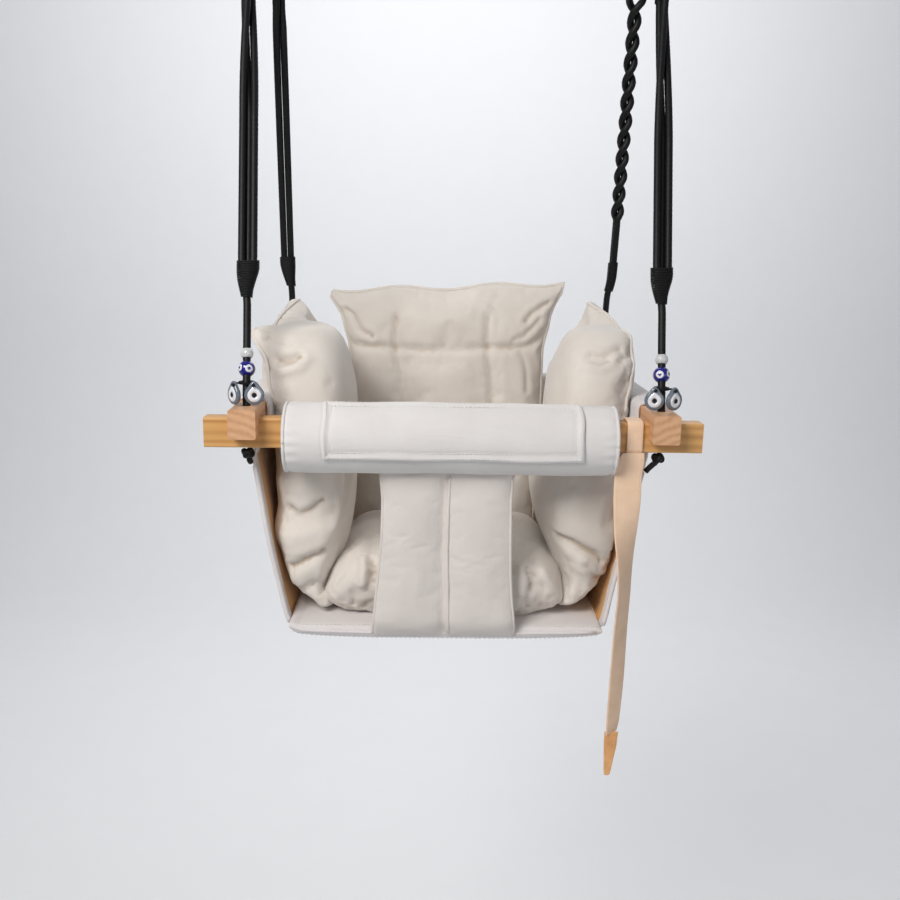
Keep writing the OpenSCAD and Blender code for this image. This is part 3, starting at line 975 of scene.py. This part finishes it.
# Its seams, as x and z: two down it, and one under the headrest.
BACK_SEAMS = [
    [(-58, -170), (-60, -24), (-68, 45), (-67, 80)],
    [(56, -170), (54, -24), (48, 45), (48, 82)],
    [(-150, 66), (-132, 48), (-69, 43), (-10, 42), (51, 45), (101, 49), (128, 70)],
]
BACK_FOLDS = [
    ([(-140, 84, 84), (-126, 82, 80), (-116, 80, 64), (-100, 78, 57)], 3.4, -3.0),
    ([(132, 84, 98), (112, 80, 92), (98, 78, 80)], 3.6, -3.0),
    ([(118, 84, 82), (98, 78, 62), (84, 78, 54)], 3.4, -1.8),
    ([(50, 80, 104), (60, 78, 84), (57, 78, 60)], 4.0, -1.2),
    ([(92, 82, 40), (102, 82, 18), (104, 82, -8)], 3.6, -1.6),
    ([(66, 80, 30), (70, 78, 4), (68, 78, -30)], 6.0, 1.4),
]


def at_depth(seam, y):
    return [(x, y, z) for x, z in seam]


def make_back():
    """Back and headrest: one tall pillow in three columns, with a seam under the headrest."""

    def middle(u, v):
        z = between(BACK_LOW, BACK_HIGH, v)
        width = 122 + 8 * smoothstep(z, 40, 80) + 17 * smoothstep(z, 72, 116) ** 1.5 - 6 * smoothstep(-z, 60, 220)
        x = u * width - 4
        y = BACK_MIDDLE + 4 * (v + 1) / 2 + 0 * u
        top = smoothstep(z, 40, 116)
        edge = 0.046 * x * top - 3.0 * np.cos(u * 7.5) * top + 2.5 * np.abs(u) ** 6 * top
        return np.stack([x, y, z + edge], -1)

    def half(u, v):
        return 1.6 + 22 * (1 - np.abs(u) ** 4) ** 0.55 * (1 - np.abs(v) ** 7) ** 0.6

    rows, columns = 84, 74
    back = leaf("back", columns, rows, middle, half)
    count, rim = rows * columns, rim_order(rows, columns)
    points = seat_points(back)
    flat = points * [1, 0, 1] + [0, BACK_FRONT, 0]
    facing = points[:, 1] < BACK_MIDDLE
    pinned = both_faces(rim, count)
    for seam in BACK_SEAMS:
        away = near_line(flat, at_depth(seam, BACK_FRONT))
        points[:, 1] += 5.5 * bell(away, 5.0) * facing
        pinned |= set(np.nonzero((away < 2.4) & facing)[0].tolist())
    set_coordinates(back, to_frame(points))
    simulate(back, sorted(pinned), pressure=4, slack=0.02, cap=6, deflate=0.6)
    settled = seat_points(back)
    edge_line = (settled[:count][rim] + settled[count:][rim]) / 2
    relax_and_subdivide(back)
    push(back, BACK_FOLDS)
    for k, seam in enumerate(BACK_SEAMS):
        gather(back, at_depth(seam, 92), 13, 0.22, 23, k + 0.5)
    edge_line = np.concatenate([edge_line, edge_line[:1]])[::3]
    piping = tube("back_piping", edge_line, 2.1, 10, MATERIALS["cushion"])
    dress(join("back_cushion_cover", [back, piping]), "cushion", "seat",
          ["back_cushion", "headrest_cushion"])


# Seat cushion across the seat: x, z of the middle, half height, front y, back y.
SEAT_STATIONS = [
    (-139, -210, 6, -112, 50), (-134, -204, 14, -126, 64), (-122, -196, 27, -136, 74), (-104, -190, 38, -141, 78),
    (-84, -189, 41, -145, 80), (-50, -192, 37, -147, 80), (0, -193, 36, -147, 80), (50, -192, 37, -147, 80),
    (80, -189, 40, -145, 80), (98, -190, 37, -141, 78), (112, -196, 29, -136, 74), (122, -204, 17, -126, 64),
    (127, -211, 6, -112, 50)]
SEAT_TUCKS = [
    [(-88, -70, -148), (-84, -134, -150), (-82, -146, -176)],
    [(88, -70, -150), (89, -134, -160), (89, -144, -182)],
    [(-36, -110, -156), (-36, -20, -156), (-36, 60, -156)],
    [(36, -110, -156), (36, -20, -156), (36, 60, -156)],
]
SEAT_FOLDS = [
    ([(-97, -138, -146), (-94, -144, -162), (-95, -144, -184)], 5.0, 4.2),
    ([(-84, -144, -152), (-82, -146, -180)], 4.2, -2.8),
    ([(89, -142, -160), (89, -145, -188)], 4.2, -3.0),
    ([(77, -142, -156), (75, -146, -190)], 6.5, 3.0),
    ([(101, -138, -168), (105, -136, -194)], 6.0, 3.0),
    ([(-84, -144, -208), (-94, -138, -222)], 3.8, -2.2),
    ([(82, -142, -200), (84, -138, -216)], 3.8, -2.4),
]


def make_seat():
    """The seat cushion: an inflated pad with tucks at its front and a gathered hem."""
    stations = catmull_rom(SEAT_STATIONS, 5.0)
    turn = circle(48)
    high, deep = squared(np.cos(turn), 2 / 3.0), squared(np.sin(turn), 2 / 3.0)
    rings = [np.stack([x + 0 * turn, (front + back) / 2 + (back - front) / 2 * deep, z + reach * high], 1)
             for x, z, reach, front, back in stations]
    seat = closed_grid("seat_cushion_cover", rings)
    remesh(seat)
    points, pinned = sink(seat_points(seat), normals(seat), SEAT_TUCKS)
    set_coordinates(seat, to_frame(points))
    simulate(seat, sorted(pinned), pressure=3.5, slack=0.03, cap=6, deflate=0.8)
    relax_and_subdivide(seat)
    push(seat, SEAT_FOLDS)
    gather(seat, [(-136, -122, -210), (-110, -136, -222), (-60, -142, -228), (0, -144, -228), (60, -142, -228),
                  (100, -136, -222), (124, -122, -212)], 15, 0.8, 17, 2.0)
    dress(seat, "cushion", "seat", ["seat_cushion"])


for word, side in SIDES.items():
    make_wing(word, side)
make_back()
make_seat()

# --- Guard roll, patch and crotch panel ---

# The front and rear bars lie BAR_Y from the middle, and the side bars above them.
BAR_Y, BAR_Z, SIDE_BAR_Z = 165, -15, -3.5
ROLL_X, ROLL_Y, ROLL_Z, ROLL_R, ROLL_HALF = -4.0, -BAR_Y, -20.5, 35.5, 166.0


def roll_point(x, turn, r):
    """A point round the roll: turn 0 faces the front and grows upwards."""
    return np.stack([x + 0 * turn, ROLL_Y - r * np.cos(turn), ROLL_Z + r * np.sin(turn)], -1)


def roll_surface(x, turn):
    """Radius of the stuffed roll at a place on it."""
    x, turn = np.asarray(x, float), np.asarray(turn, float)
    lumps = 0.35 * np.sin(x / 31 + 1.3 * np.sin(turn)) + 0.25 * np.sin(x / 13.7 + 2.2 * turn + 1.1)
    end = ROLL_HALF - np.abs(x - ROLL_X)
    puckers = 0.5 * np.sin(turn * 17 + 2 * np.sin(3 * turn)) * bell(end - 8, 7)
    droop = 0.5 * bell(turn + math.pi / 2, 0.6)
    return ROLL_R + lumps + puckers + droop - 2.2 * bell(end, 4.0)


def on_roll(x, turn, lift=0.0):
    """Points on the stuffed roll, or lift above it."""
    return roll_point(x, turn, roll_surface(x, turn) + lift)


def make_roll():
    """The guard's stuffed roll: a tunnel for the bar, piped ends and a closing fold underneath."""
    turn = circle(120)
    tunnel = np.stack([ROLL_Y - 11.6 * squared(np.cos(turn), 0.25), BAR_Z + 15.6 * squared(np.sin(turn), 0.25)], 1)
    xs = ROLL_X + np.concatenate([-ROLL_HALF + np.array([0, 0.8, 2, 4, 7]), np.linspace(-155, 155, 110),
                                  ROLL_HALF - np.array([7, 4, 2, 0.8, 0])])
    rings = [on_roll(x + 0 * turn, turn) for x in xs]

    def cap(side):
        edge = rings[-1] if side > 0 else rings[0]
        out = []
        for share in (0.12, 0.3, 0.5, 0.7, 0.85, 0.95, 1.0):
            ring = edge.copy()
            ring[:, 1:] = edge[:, 1:] * (1 - share) + tunnel * share
            ring[:, 0] = edge[:, 0] + side * (2.2 * math.sin(share * math.pi) - 2.0 * share)
            out.append(ring)
        return out

    right, left = cap(1), cap(-1)
    roll = ring_grid("guard_roll", rings + right + left[::-1])
    flip_if_inside_out(roll)
    piping = []
    for side in (-1, 1):
        ring = on_roll(ROLL_X + side * (ROLL_HALF - 1.6), np.linspace(0, TAU, 91), 0.6)
        piping.append(tube("piping", ring, 1.7, 10, MATERIALS["canvas"]))
    xs = np.linspace(ROLL_X - ROLL_HALF + 4, ROLL_X + ROLL_HALF - 4, 120)
    fold = tube("fold", on_roll(xs, np.full(120, math.radians(-118)), 0.1), 1.3, 8, MATERIALS["canvas"])
    dress(join("guard_roll", [roll, *piping, fold]), "canvas", "seat",
          ["guard_cover", "guard_padding"])


def flip_if_inside_out(piece):
    """Turns a closed piece's faces outwards."""
    points = coordinates(piece)
    volume = 0.0
    for face in piece.data.polygons:
        a = points[face.vertices[0]]
        for b, c in zip(face.vertices[1:-1], face.vertices[2:]):
            volume += a.dot(np.cross(points[b], points[c]))
    if volume < 0:
        piece.data.flip_normals()


# The patch's ends along the roll and round it.
PATCH_X = (-131.0, 127.0)
PATCH_TURN = (math.radians(-25), math.radians(84))
PATCH_HALF_X, PATCH_HALF_Z = 129, 34


def make_patch():
    """The guard's patch: a hemmed piece of canvas sewn to the front of the roll."""

    def place(u, v):
        return between(*PATCH_X, u) + 0.6 * np.sin(v * 5), between(*PATCH_TURN, v) + 0.012 * np.sin(u * 9)

    def hem(u, v):
        gap = np.minimum((1 - np.abs(u)) * PATCH_HALF_X, (1 - np.abs(v)) * PATCH_HALF_Z)
        return 1.5 * bell(gap - 2.8, 2.4) - 0.5 * bell(gap - 8.6, 2.2)

    def middle(u, v):
        x, turn = place(u, v)
        quilt = 0.5 * np.sin(x / 21 + 0.8) * np.sin(turn * 4)
        return roll_point(x, turn, roll_surface(x, turn) + 1.2 + hem(u, v) + quilt)

    def half(u, v):
        return 0.75 * rounded_edge(u, v, 90)

    patch = leaf("guard_patch_cover", 150, 70, middle, half, fine_edge=True)
    flip_if_inside_out(patch)
    long, short, rows = np.linspace(0, 1, 60), np.linspace(0, 1, 24), []
    for inset in (3.6, 8.4):
        us, vs = 1 - inset / PATCH_HALF_X, 1 - inset / PATCH_HALF_Z
        u = np.concatenate([-us + 2 * us * long, us + 0 * short, us - 2 * us * long, -us + 0 * short])
        v = np.concatenate([-vs + 0 * long, -vs + 2 * vs * short, vs + 0 * long, vs - 2 * vs * short])
        x, turn = place(u, v)
        rows.append(stitches(roll_point(x, turn, roll_surface(x, turn) + 2.05 + hem(u, v))))
    dress(patch, "canvas", "seat", ["guard_patch"])
    dress(join("guard_stitches", rows), "thread", "seat")


# The crotch panel's height, left edge and right edge, and its middle seam's height and place.
CROTCH_EDGES = [
    (-52, -76, 62), (-62, -74, 60), (-84, -72, 59), (-125, -73, 60), (-160, -76, 61), (-190, -79, 63),
    (-215, -81, 66), (-228, -82.5, 67), (-236, -82.5, 67.5)]
CROTCH_SEAM = [(-52, -8.5), (-90, -9.5), (-140, -10), (-190, -8.5), (-236, -7.5)]


def make_crotch():
    """The padded panel from the roll down to the base, piped down its middle and its edges."""
    edges, seam = np.array(CROTCH_EDGES[::-1]), np.array(CROTCH_SEAM[::-1])

    def middle(u, v):
        z = between(edges[0, 0], edges[-1, 0], v)
        left, right = at_height(edges, z)
        mid = at_height(seam, z)[0]
        x = np.where(u < 0, mid + (mid - left) * u, mid + (right - mid) * u)
        y = -164 + 9 * smoothstep(-z, 214, 236) + 1.5 * np.sin(z / 38) - 1.5 * np.abs(u) ** 4
        return np.stack([x, y, z], -1)

    def half(u, v):
        dome = (1 - np.abs(2 * np.abs(u) - 1) ** 3.2) ** 0.6 * smoothstep(np.abs(u), -0.01, 0.1)
        return 0.9 + 5.2 * dome * (1 - np.abs(v) ** 14) ** 0.5

    rows, columns = 74, 61
    panel = leaf("crotch_panel_cover", columns, rows, middle, half)
    flip_if_inside_out(panel)
    count = rows * columns
    rim, seam_line = rim_order(rows, columns), [i * columns + columns // 2 for i in range(rows)]
    simulate(panel, sorted(both_faces(rim + seam_line, count)), pressure=3, slack=0.004, cap=2.5, deflate=0.2)
    settled = seat_points(panel)
    front, back = settled[:count].reshape(rows, columns, 3), settled[count:].reshape(rows, columns, 3)
    edge_lines = [(front[:, k] + back[:, k]) / 2 for k in (0, columns - 1)]
    line = min(front[:, columns // 2], back[:, columns // 2], key=lambda run: run[:, 1].mean())
    subdivide(panel)
    push(panel, [([(6, -172, -180), (26, -172, -190), (44, -172, -204)], 8, -0.7)])
    ridge = line[2:-2] + np.array([4.6, -2.6, 0])
    trims = [tube("ridge", ridge[::2], 1.7, 8)]
    trims += [tube("edge", edge[1:-1:2], 1.7, 8) for edge in edge_lines]
    dress(join("crotch_panel_cover", [panel, *trims]), "panel", "seat", ["crotch_panel"])


make_roll()
make_patch()
make_crotch()

# --- Canvas sling ---

CANVAS_T, SLING_DEPTH, BACK_WIDTH = 2.3, 264, 344
# Front edge of each wall from the bar down to the base: x, z.
WALLS = {
    "left": [(-207.5, -22), (-208.5, -46), (-200.6, -95), (-193, -139), (-183.4, -189), (-176, -222), (-171, -232)],
    "right": [(206, -22), (203, -46), (192, -95), (184, -139), (174.5, -189), (168, -225), (164, -233)],
}
# Way round a side bar's section, from the wall's top: offsets in x and z from the bar's middle.
BAR_WRAP = [
    (-1, -17.4), (10, -17.4), (15.4, -13), (15.8, 0), (15.4, 13), (11, 16.6), (0, 16.9), (-11, 16.6), (-15.4, 13),
    (-15.8, 0), (-15.4, -13)]


def hem_stitches(middle, ends, shift):
    """Rows of stitches on both faces of a wall, down its hems at each u of ends."""
    rows = []
    for u in ends:
        line = middle(np.full(70, u), np.linspace(-0.96, -0.02, 70))
        rows += [long_stitches(line + sign * np.array(shift)) for sign in (-1, 1)]
    return rows


def wall_thickness(u, v, half_width, hem):
    """Half a wall's thickness: canvas, thicker over the hems at its sides."""
    hem = hem * smoothstep((1 - np.abs(u)) * half_width, 17, 12)
    return (CANVAS_T / 2 + hem * 0.8) * rounded_edge(u, v, 120)


def below_bar(z):
    """0 where a wall wraps its bar, and 1 lower down."""
    return smoothstep(-z, 26, 60)


def hanging(z):
    """0 at the bar and at the base, and 1 halfway down a wall."""
    return np.sin(np.pi * np.clip((-z - 30) / 200, 0, 1))


def make_sling_side(word, side):
    """A side wall: canvas wrapped over its bar, with sewn hems and a bound front edge."""
    wall = np.array(WALLS[word])[::-1]
    wrap = np.array([(side * (CORD_X + x), SIDE_BAR_Z + z) for x, z in BAR_WRAP])
    flap_z = np.array([-26.0, -36.0, -45.0])
    flap = np.stack([np.interp(flap_z, wall[:, 1], wall[:, 0]) - side * np.array([4.6, 3.2, 2.9]), flap_z], 1)
    profile = catmull_rom(np.concatenate([wall[:-1], wrap, flap]), 3.0)
    half_depth = SLING_DEPTH / 2

    def middle(u, v):
        x, z = np.moveaxis(path_at(profile, (v + 1) / 2), -1, 0)
        on_wall = below_bar(z)
        depth = half_depth * u + 5 * np.abs(u) ** 3 * np.sign(u) * on_wall
        billow = side * (2.5 * (1 - u**2) * hanging(z)
                         + 1.1 * np.sin(depth / 19 + z / 40) * on_wall * (1 - 0.6 * np.abs(u)))
        front_pull = 1.2 * np.sin(z / 17) * smoothstep(-u, 0.8, 1) * on_wall
        return np.stack([x + billow, depth + front_pull, z], -1)

    def half(u, v):
        return wall_thickness(u, v, half_depth, 1.1)

    name = f"sling_{word}_"
    sheet = leaf(name + "side_cover", 90, 120, middle, half, (MATERIALS["sling"], MATERIALS["lining"]), fine_edge=True)
    face_out(sheet, side)
    hem_u = 1 - 9.5 / half_depth
    rows = hem_stitches(middle, (-hem_u, hem_u), [side * (CANVAS_T / 2 + 1.0), 0, 0])
    front = middle(np.full(70, -1.0), np.linspace(-0.98, 0.02, 70))
    binding = tube(name + "binding", front[::2], 2.6, 10, MATERIALS["sling"])
    dress(binding, "sling", "seat")
    dress(sheet, "sling", "seat", [name + "side"])
    dress(join(name + "stitches", rows), "thread", "seat")


def face_out(sheet, side):
    """Gives the lining to the side of a wall that faces the child, away from its front hem."""
    points = seat_points(sheet)
    for face in sheet.data.polygons:
        _, y, z = points[list(face.vertices)].mean(0)
        face.material_index = int(face.normal.x * side < -0.2 and z < -20 and y > -124)


def make_sling_back():
    """The back wall: canvas wrapped over the rear bar and sewn under it."""
    wrap = [(BAR_Y + y, BAR_Z + z) for y, z in [
        (-1, -17.6), (9, -17.4), (12.8, -13), (13.2, 0), (12.8, 13), (9, 17.2), (0, 17.4), (-9, 17.2), (-12.8, 13),
        (-13.2, 0), (-13, -14), (-10, -22), (-9, -36), (-10, -48)]]
    wall = [(150, -231), (153, -200), (157, -150), (161, -100), (163, -60), (164, -36)]
    profile = catmull_rom(np.array(wall + wrap), 3.0)

    def middle(u, v):
        y, z = np.moveaxis(path_at(profile, (v + 1) / 2), -1, 0)
        width = np.interp(z, [-231, -40, 10], [162, 172, 172])
        drop = below_bar(z)
        ripple = (3.0 * (1 - u**2) * hanging(z) + 1.0 * np.sin(u * 11 + z / 35)) * drop
        return np.stack([u * width - 3 * drop, y + ripple, z], -1)

    def half(u, v):
        return wall_thickness(u, v, 170, 0.9)

    sheet = leaf("sling_back_cover", 100, 120, middle, half, (MATERIALS["sling"],), fine_edge=True)
    rows = hem_stitches(middle, (-0.945, 0.945), [0, CANVAS_T / 2 + 0.9, 0])
    us = np.linspace(-0.96, 0.96, 90)
    rows.append(long_stitches(np.stack([us * BACK_WIDTH / 2, np.full(90, 166.2), np.full(90, -39.0)], -1)))
    dress(sheet, "sling", "seat", ["sling_back"])
    dress(join("sling_back_stitches", rows), "thread", "seat")


# Middle and half width of the base along X and along Y, and the height of its top.
BASE_X, BASE_Y, BASE_TOP = (-4.5, 167.5), (-2.5, 152.5), -225.9


def make_base():
    """The base: a canvas envelope round its board, a little slack under its middle."""

    def thick(u, v):
        return 5.4 + 2.7 * (1 - u**4) * smoothstep(-v, -0.4, 1.0)

    def middle(u, v):
        x, y = BASE_X[0] + BASE_X[1] * u, BASE_Y[0] + BASE_Y[1] * v
        lift = 4.0 * smoothstep(-u, 0.93, 1.0)
        return np.stack([x, y, BASE_TOP - thick(u, v) + lift + 0 * u], -1)

    def half(u, v):
        return thick(u, v) * rounded_edge(u, v, 60, 45, 0.01)

    base = leaf("sling_base_cover", 110, 100, middle, half, (MATERIALS["sling"], MATERIALS["lining"]), fine_edge=True)
    flip_if_inside_out(base)
    points = seat_points(base)
    for face in base.data.polygons:
        spot = points[list(face.vertices)].mean(0)
        face.material_index = 1 if face.normal.z > 0.5 and spot[1] > -139 else 0
    us = np.linspace(-0.985, 0.985, 80)
    edge, rise = middle(us, np.full(80, -0.975)), thick(us, np.full(80, -0.975))[:, None] * np.array([0, 0, 0.9])
    rows = [long_stitches(edge + rise), long_stitches(edge - rise)]
    piping = tube("base_piping", middle(us, np.full(80, -0.998))[::3], 1.6, 10, MATERIALS["sling"])
    dress(join("sling_base_cover", [base, piping]), "sling", "seat", ["sling_base"])
    dress(join("sling_base_stitches", rows), "thread", "seat")


for word, side in SIDES.items():
    make_sling_side(word, side)
make_sling_back()
make_base()

# --- Strap ---

STRAP_X, STRAP_Y, STRAP_END = 180.9, -179.7, -337
# Height, left edge and right edge of the strap's tail and of its tip.
STRAP_EDGES = [
    (-29.5, 169.5, 190.5), (-36, 165, 191.3), (-46, 162.6, 190.3), (-56, 161.7, 189.5), (-76, 161.7, 189.8),
    (-97, 162.6, 189.2), (-118, 163.8, 188), (-139, 166.5, 187), (-160, 168.5, 186.4), (-182, 169.2, 186.2),
    (-222, 168, 185), (-271, 167.5, 184.6), (-319, 167, 182.4), (-337, 167, 180.2)]
TIP_EDGES = [(-386, 168.4, 173.5), (-380, 167.6, 175), (-350, 166.2, 180), (-335, 166.2, 180.8)]


def band(edges, v):
    """Middle, half width and height at v along a flat band, from a table of its edges."""
    z = between(edges[0, 0], edges[-1, 0], v)
    left, right = at_height(edges, z)
    return (left + right) / 2, (right - left) / 2, z


def strap_lean(z):
    """How far the strap stands off its straight line, front to back, at height z."""
    return -1.0 * smoothstep(-z, 40, 110) + 2.2 * np.sin((z + 30) / 62) * smoothstep(-z, 60, 150)


def make_strap():
    """The strap's hanging end: a thin tail sewn along its edges, and a pointed tip."""
    edges = catmull_rom(STRAP_EDGES, 3.0)[::-1]

    def middle(u, v):
        x, wide, z = band(edges, v)
        full = np.interp(z, [STRAP_END, -150], [9.0, 14.2])
        turned = u * np.sqrt(np.maximum(full**2 - wide**2, 0)) * smoothstep(-z, 60, 130)
        y = STRAP_Y + strap_lean(z) + turned + 0.7 * u**2 * smoothstep(-z, 50, 120)
        return np.stack([x + wide * u, y, z], -1)

    def half(u, v):
        return rounded_edge(u, v, 40)

    tail = leaf("strap_tail_leather", 30, 150, middle, half, fine_edge=True)
    flip_if_inside_out(tail)
    vs = np.linspace(-0.97, 0.97, 120)
    rows = [stitches(middle(np.full(120, u), vs) - np.array([0, 1.0, 0]), 4.6, 3.0, 0.4, "strap")
            for u in (-0.8, 0.8)]
    dress(join("strap_tail_leather", [tail, *rows]), "strap", "strap", ["strap_tail"])

    def tip_middle(u, v):
        x, wide, z = band(np.array(TIP_EDGES), v)
        return np.stack([x + wide * u, STRAP_Y + strap_lean(np.maximum(z, STRAP_END)) + 0 * u, z], -1)

    def tip_half(u, v):
        return (1.9 + 0.5 * bell(v + 0.95, 0.2)) * rounded_edge(u, v, 16)

    tip = leaf("strap_tip_leather", 26, 60, tip_middle, tip_half, fine_edge=True)
    flip_if_inside_out(tip)
    outline = [(-0.7, v) for v in np.linspace(0.8, -0.8, 20)] + [(0.7, v) for v in np.linspace(-0.8, 0.8, 20)]
    u, v = np.array(outline).T
    row = stitches(tip_middle(u, v) - np.array([0, 1.9, 0]), 4.2, 2.8, 0.4, "tip")
    dress(join("strap_tip_leather", [tip, row]), "tip", "strap", ["strap_tip"])


def make_strap_loop():
    """A band of leather round the bar, sewn where its ends meet."""
    turn = circle(96)
    across, high = squared(np.cos(turn), 0.32), squared(np.sin(turn), 0.32)

    def section(x, half_y, half_z, share=1.0):
        return np.stack([STRAP_X + x + 0 * turn, -BAR_Y + half_y * across * share, BAR_Z + half_z * high * share], 1)

    rings = [section(share * 8.1, 13.9, 17.9, 1 - 0.5 * abs(share) ** 12 * 0.06) for share in np.linspace(-1, 1, 15)]
    back = [section(x, 11.6, 15.6) for x in (8.0, -8.0)]
    loop = ring_grid("strap_loop_leather", rings + back)
    flip_if_inside_out(loop)
    line = np.stack([STRAP_X + np.linspace(-6, 6, 12), np.full(12, -179), np.full(12, -27.0)], 1)
    row = stitches(line, 3.6, 2.4, 0.45, "strap")
    dress(join("strap_loop_leather", [loop, row]), "strap", "seat", ["strap_loop"])


make_strap()
make_strap_loop()

# --- Beads ---


def lathe_bead(name, centre, along, radius, bore, spots=(), materials=()):
    """A round bead with a bore and, if asked for, painted spots."""
    reach = math.asin(bore / radius)
    angles = np.linspace(reach, math.pi - reach, 40)
    profile = [(radius * math.sin(a), radius * math.cos(a)) for a in angles]
    profile += [(bore, z) for z in np.linspace(-radius * math.cos(reach), radius * math.cos(reach), 8)[1:-1]]
    along = np.asarray(along, float) / np.linalg.norm(along)
    side = np.cross(along, [0, 1, 0])
    side /= np.linalg.norm(side)
    up = np.cross(along, side)
    turn = circle(72)[:, None]
    rings = [centre + along * z + r * (np.cos(turn) * side + np.sin(turn) * up) for r, z in profile]
    bead = ring_grid(name, rings)
    flip_if_inside_out(bead)
    for material in materials:
        bead.data.materials.append(material)
    points = seat_points(bead)
    for face in bead.data.polygons:
        middle = points[list(face.vertices)].mean(0) - centre
        middle /= np.linalg.norm(middle)
        for spot, wide, index in spots:
            spot = np.asarray(spot, float) / np.linalg.norm(spot)
            if middle.dot(spot) > math.cos(math.radians(wide)):
                face.material_index = index
    return bead


# Section of a flat bead from its middle outwards: radius, half thickness, colour (2 dot, 1 white, 0 rim).
FLAT_BEAD = [
    (0.001, 2.55, 2), (1.6, 2.6, 2), (2.5, 2.55, 2), (2.55, 2.9, 1), (4.4, 3.0, 1), (6.2, 2.8, 1), (6.5, 2.45, 1),
    (6.7, 2.35, 0), (8.4, 2.3, 0), (9.4, 1.7, 0), (9.8, 0.8, 0)]
FLAT_TURN = {("left", "inner"): 8, ("left", "outer"): -48, ("right", "inner"): -6, ("right", "outer"): 30}


def flat_bead(name, centre, turn_deg):
    """A drop-shaped glass bead with a white middle and a dark dot, turned about its thread."""
    count = 96
    angle = circle(count)
    lug = bell(angle - math.pi / 2, 0.42) * 4.1
    rings, tags = [], []
    for r, depth, tag in FLAT_BEAD:
        outward = r + lug * (r / 9.8) ** 2
        rings.append(np.stack([outward * np.cos(angle), np.full(count, -depth), outward * np.sin(angle)], 1))
        tags.append(tag)
    rings += [ring * np.array([1, -1, 1]) for ring in rings[::-1]]
    tags += tags[::-1]
    spin = math.radians(turn_deg)
    matrix = np.array([[math.cos(spin), -math.sin(spin), 0], [math.sin(spin), math.cos(spin), 0], [0, 0, 1]])
    bead = closed_grid(name, [ring @ matrix.T + centre for ring in rings])
    flip_if_inside_out(bead)
    for word in ("grey_glass", "white_glass", "black_glass"):
        bead.data.materials.append(MATERIALS[word])
    for face in bead.data.polygons:
        rows = sorted(v // count for v in face.vertices)
        row = rows[0] if rows[0] < len(FLAT_BEAD) else rows[-1]
        face.material_index = tags[min(row, len(tags) - 1)]
    return bead


# Painted highlights on the left blue bead: white spots with blue middles that stand for glints of light. Each:
# direction, degrees from its middle to its edge, colour (1 white, 0 blue).
PAINTED_BEAD_HIGHLIGHTS = [
    ((0.45, -0.9, 0.2), 27, 1), ((-0.75, -0.6, 0.25), 24, 1), ((0.3, 0.95, 0.1), 27, 1), ((-0.6, 0.7, -0.3), 22, 1),
    ((0.45, -0.9, 0.2), 11, 0), ((-0.75, -0.6, 0.25), 10, 0), ((0.3, 0.95, 0.1), 11, 0)]


def make_beads(word, side):
    """The beads of a front cord: a clear one, a blue one with painted highlights and two flat ones on a thread."""

    def on_cord(z):
        return strand_middle(FRONT_CORD, z) * [side, 1, 1]

    lean = on_cord(RING_Z) - FRONT_CORD[1] * [side, 1, 1]
    white = lathe_bead(word + "_white_bead_glass", on_cord(61), lean, 6.5, 4.5, materials=[MATERIALS["clear"]])
    dress(white, "clear", word + "_white_bead", [word + "_white_bead"])
    # Painted highlights: the white spots, set for this side.
    spots = [((-side * x, y, z), wide, index) for (x, y, z), wide, index in PAINTED_BEAD_HIGHLIGHTS]
    blue = lathe_bead(word + "_blue_bead_glass", on_cord(46), lean, 8.5, 4.5, spots,
                      [MATERIALS["blue"], MATERIALS["white_glass"]])
    dress(blue, "blue", word + "_blue_bead", [word + "_blue_bead"])
    for place in ("inner", "outer"):
        low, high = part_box(f"{word}_{place}_eye_bead")
        centre = to_seat((np.array(low) + np.array(high)) / 2)
        centre[2] = 22.5
        bead = flat_bead(f"{word}_{place}_flat_bead", centre, FLAT_TURN[word, place])
        dress(bead, "grey_glass", word + "_eye_pair", [f"{word}_{place}_eye_bead"])


for word, side in SIDES.items():
    make_beads(word, side)

# --- CAD pieces that stay, with better materials ---

KEPT = {
    "front_bar": "cross_wood", "rear_bar": "cross_wood", "left_side_bar": "side_wood", "right_side_bar": "side_wood",
    "left_ceiling_plate": "steel", "right_ceiling_plate": "steel", "left_ring": "steel", "right_ring": "steel",
    "base_board": "side_wood", "left_eye_thread": "whipping", "right_eye_thread": "whipping",
}
for name, material in KEPT.items():
    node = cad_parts[name]
    node.data.materials.clear()
    node.data.materials.append(MATERIALS[material])


def make_floor():
    """A pale floor that curves up into a pale wall, well below and behind the swing."""
    bend, radius, top, drop = 2.2, 0.9, 4.5, 0.75
    turn = np.linspace(0.1, 1, 14) * math.pi / 2
    depth = np.concatenate([np.linspace(-3, bend, 12), bend + radius * np.sin(turn), [bend + radius]])
    height = np.concatenate([np.zeros(12), radius - radius * np.cos(turn), [top]])
    points = [(x, y, CAD_BOX[0][2] - drop + z) for y, z in zip(depth, height) for x in (-5, 5)]
    floor = new_mesh("floor", points, grid_faces(len(depth), 2))
    material, tree, shader, point = node_material("floor_paint")
    paint = ramp(tree, noise_at(tree, point, 9, 4), (0.3, (0.86, 0.865, 0.875)), (0.7, (0.87, 0.875, 0.885)))
    feed(tree, shader, {"Base Color": paint, "Roughness": 0.7})
    floor.data.materials.append(material)


make_floor()
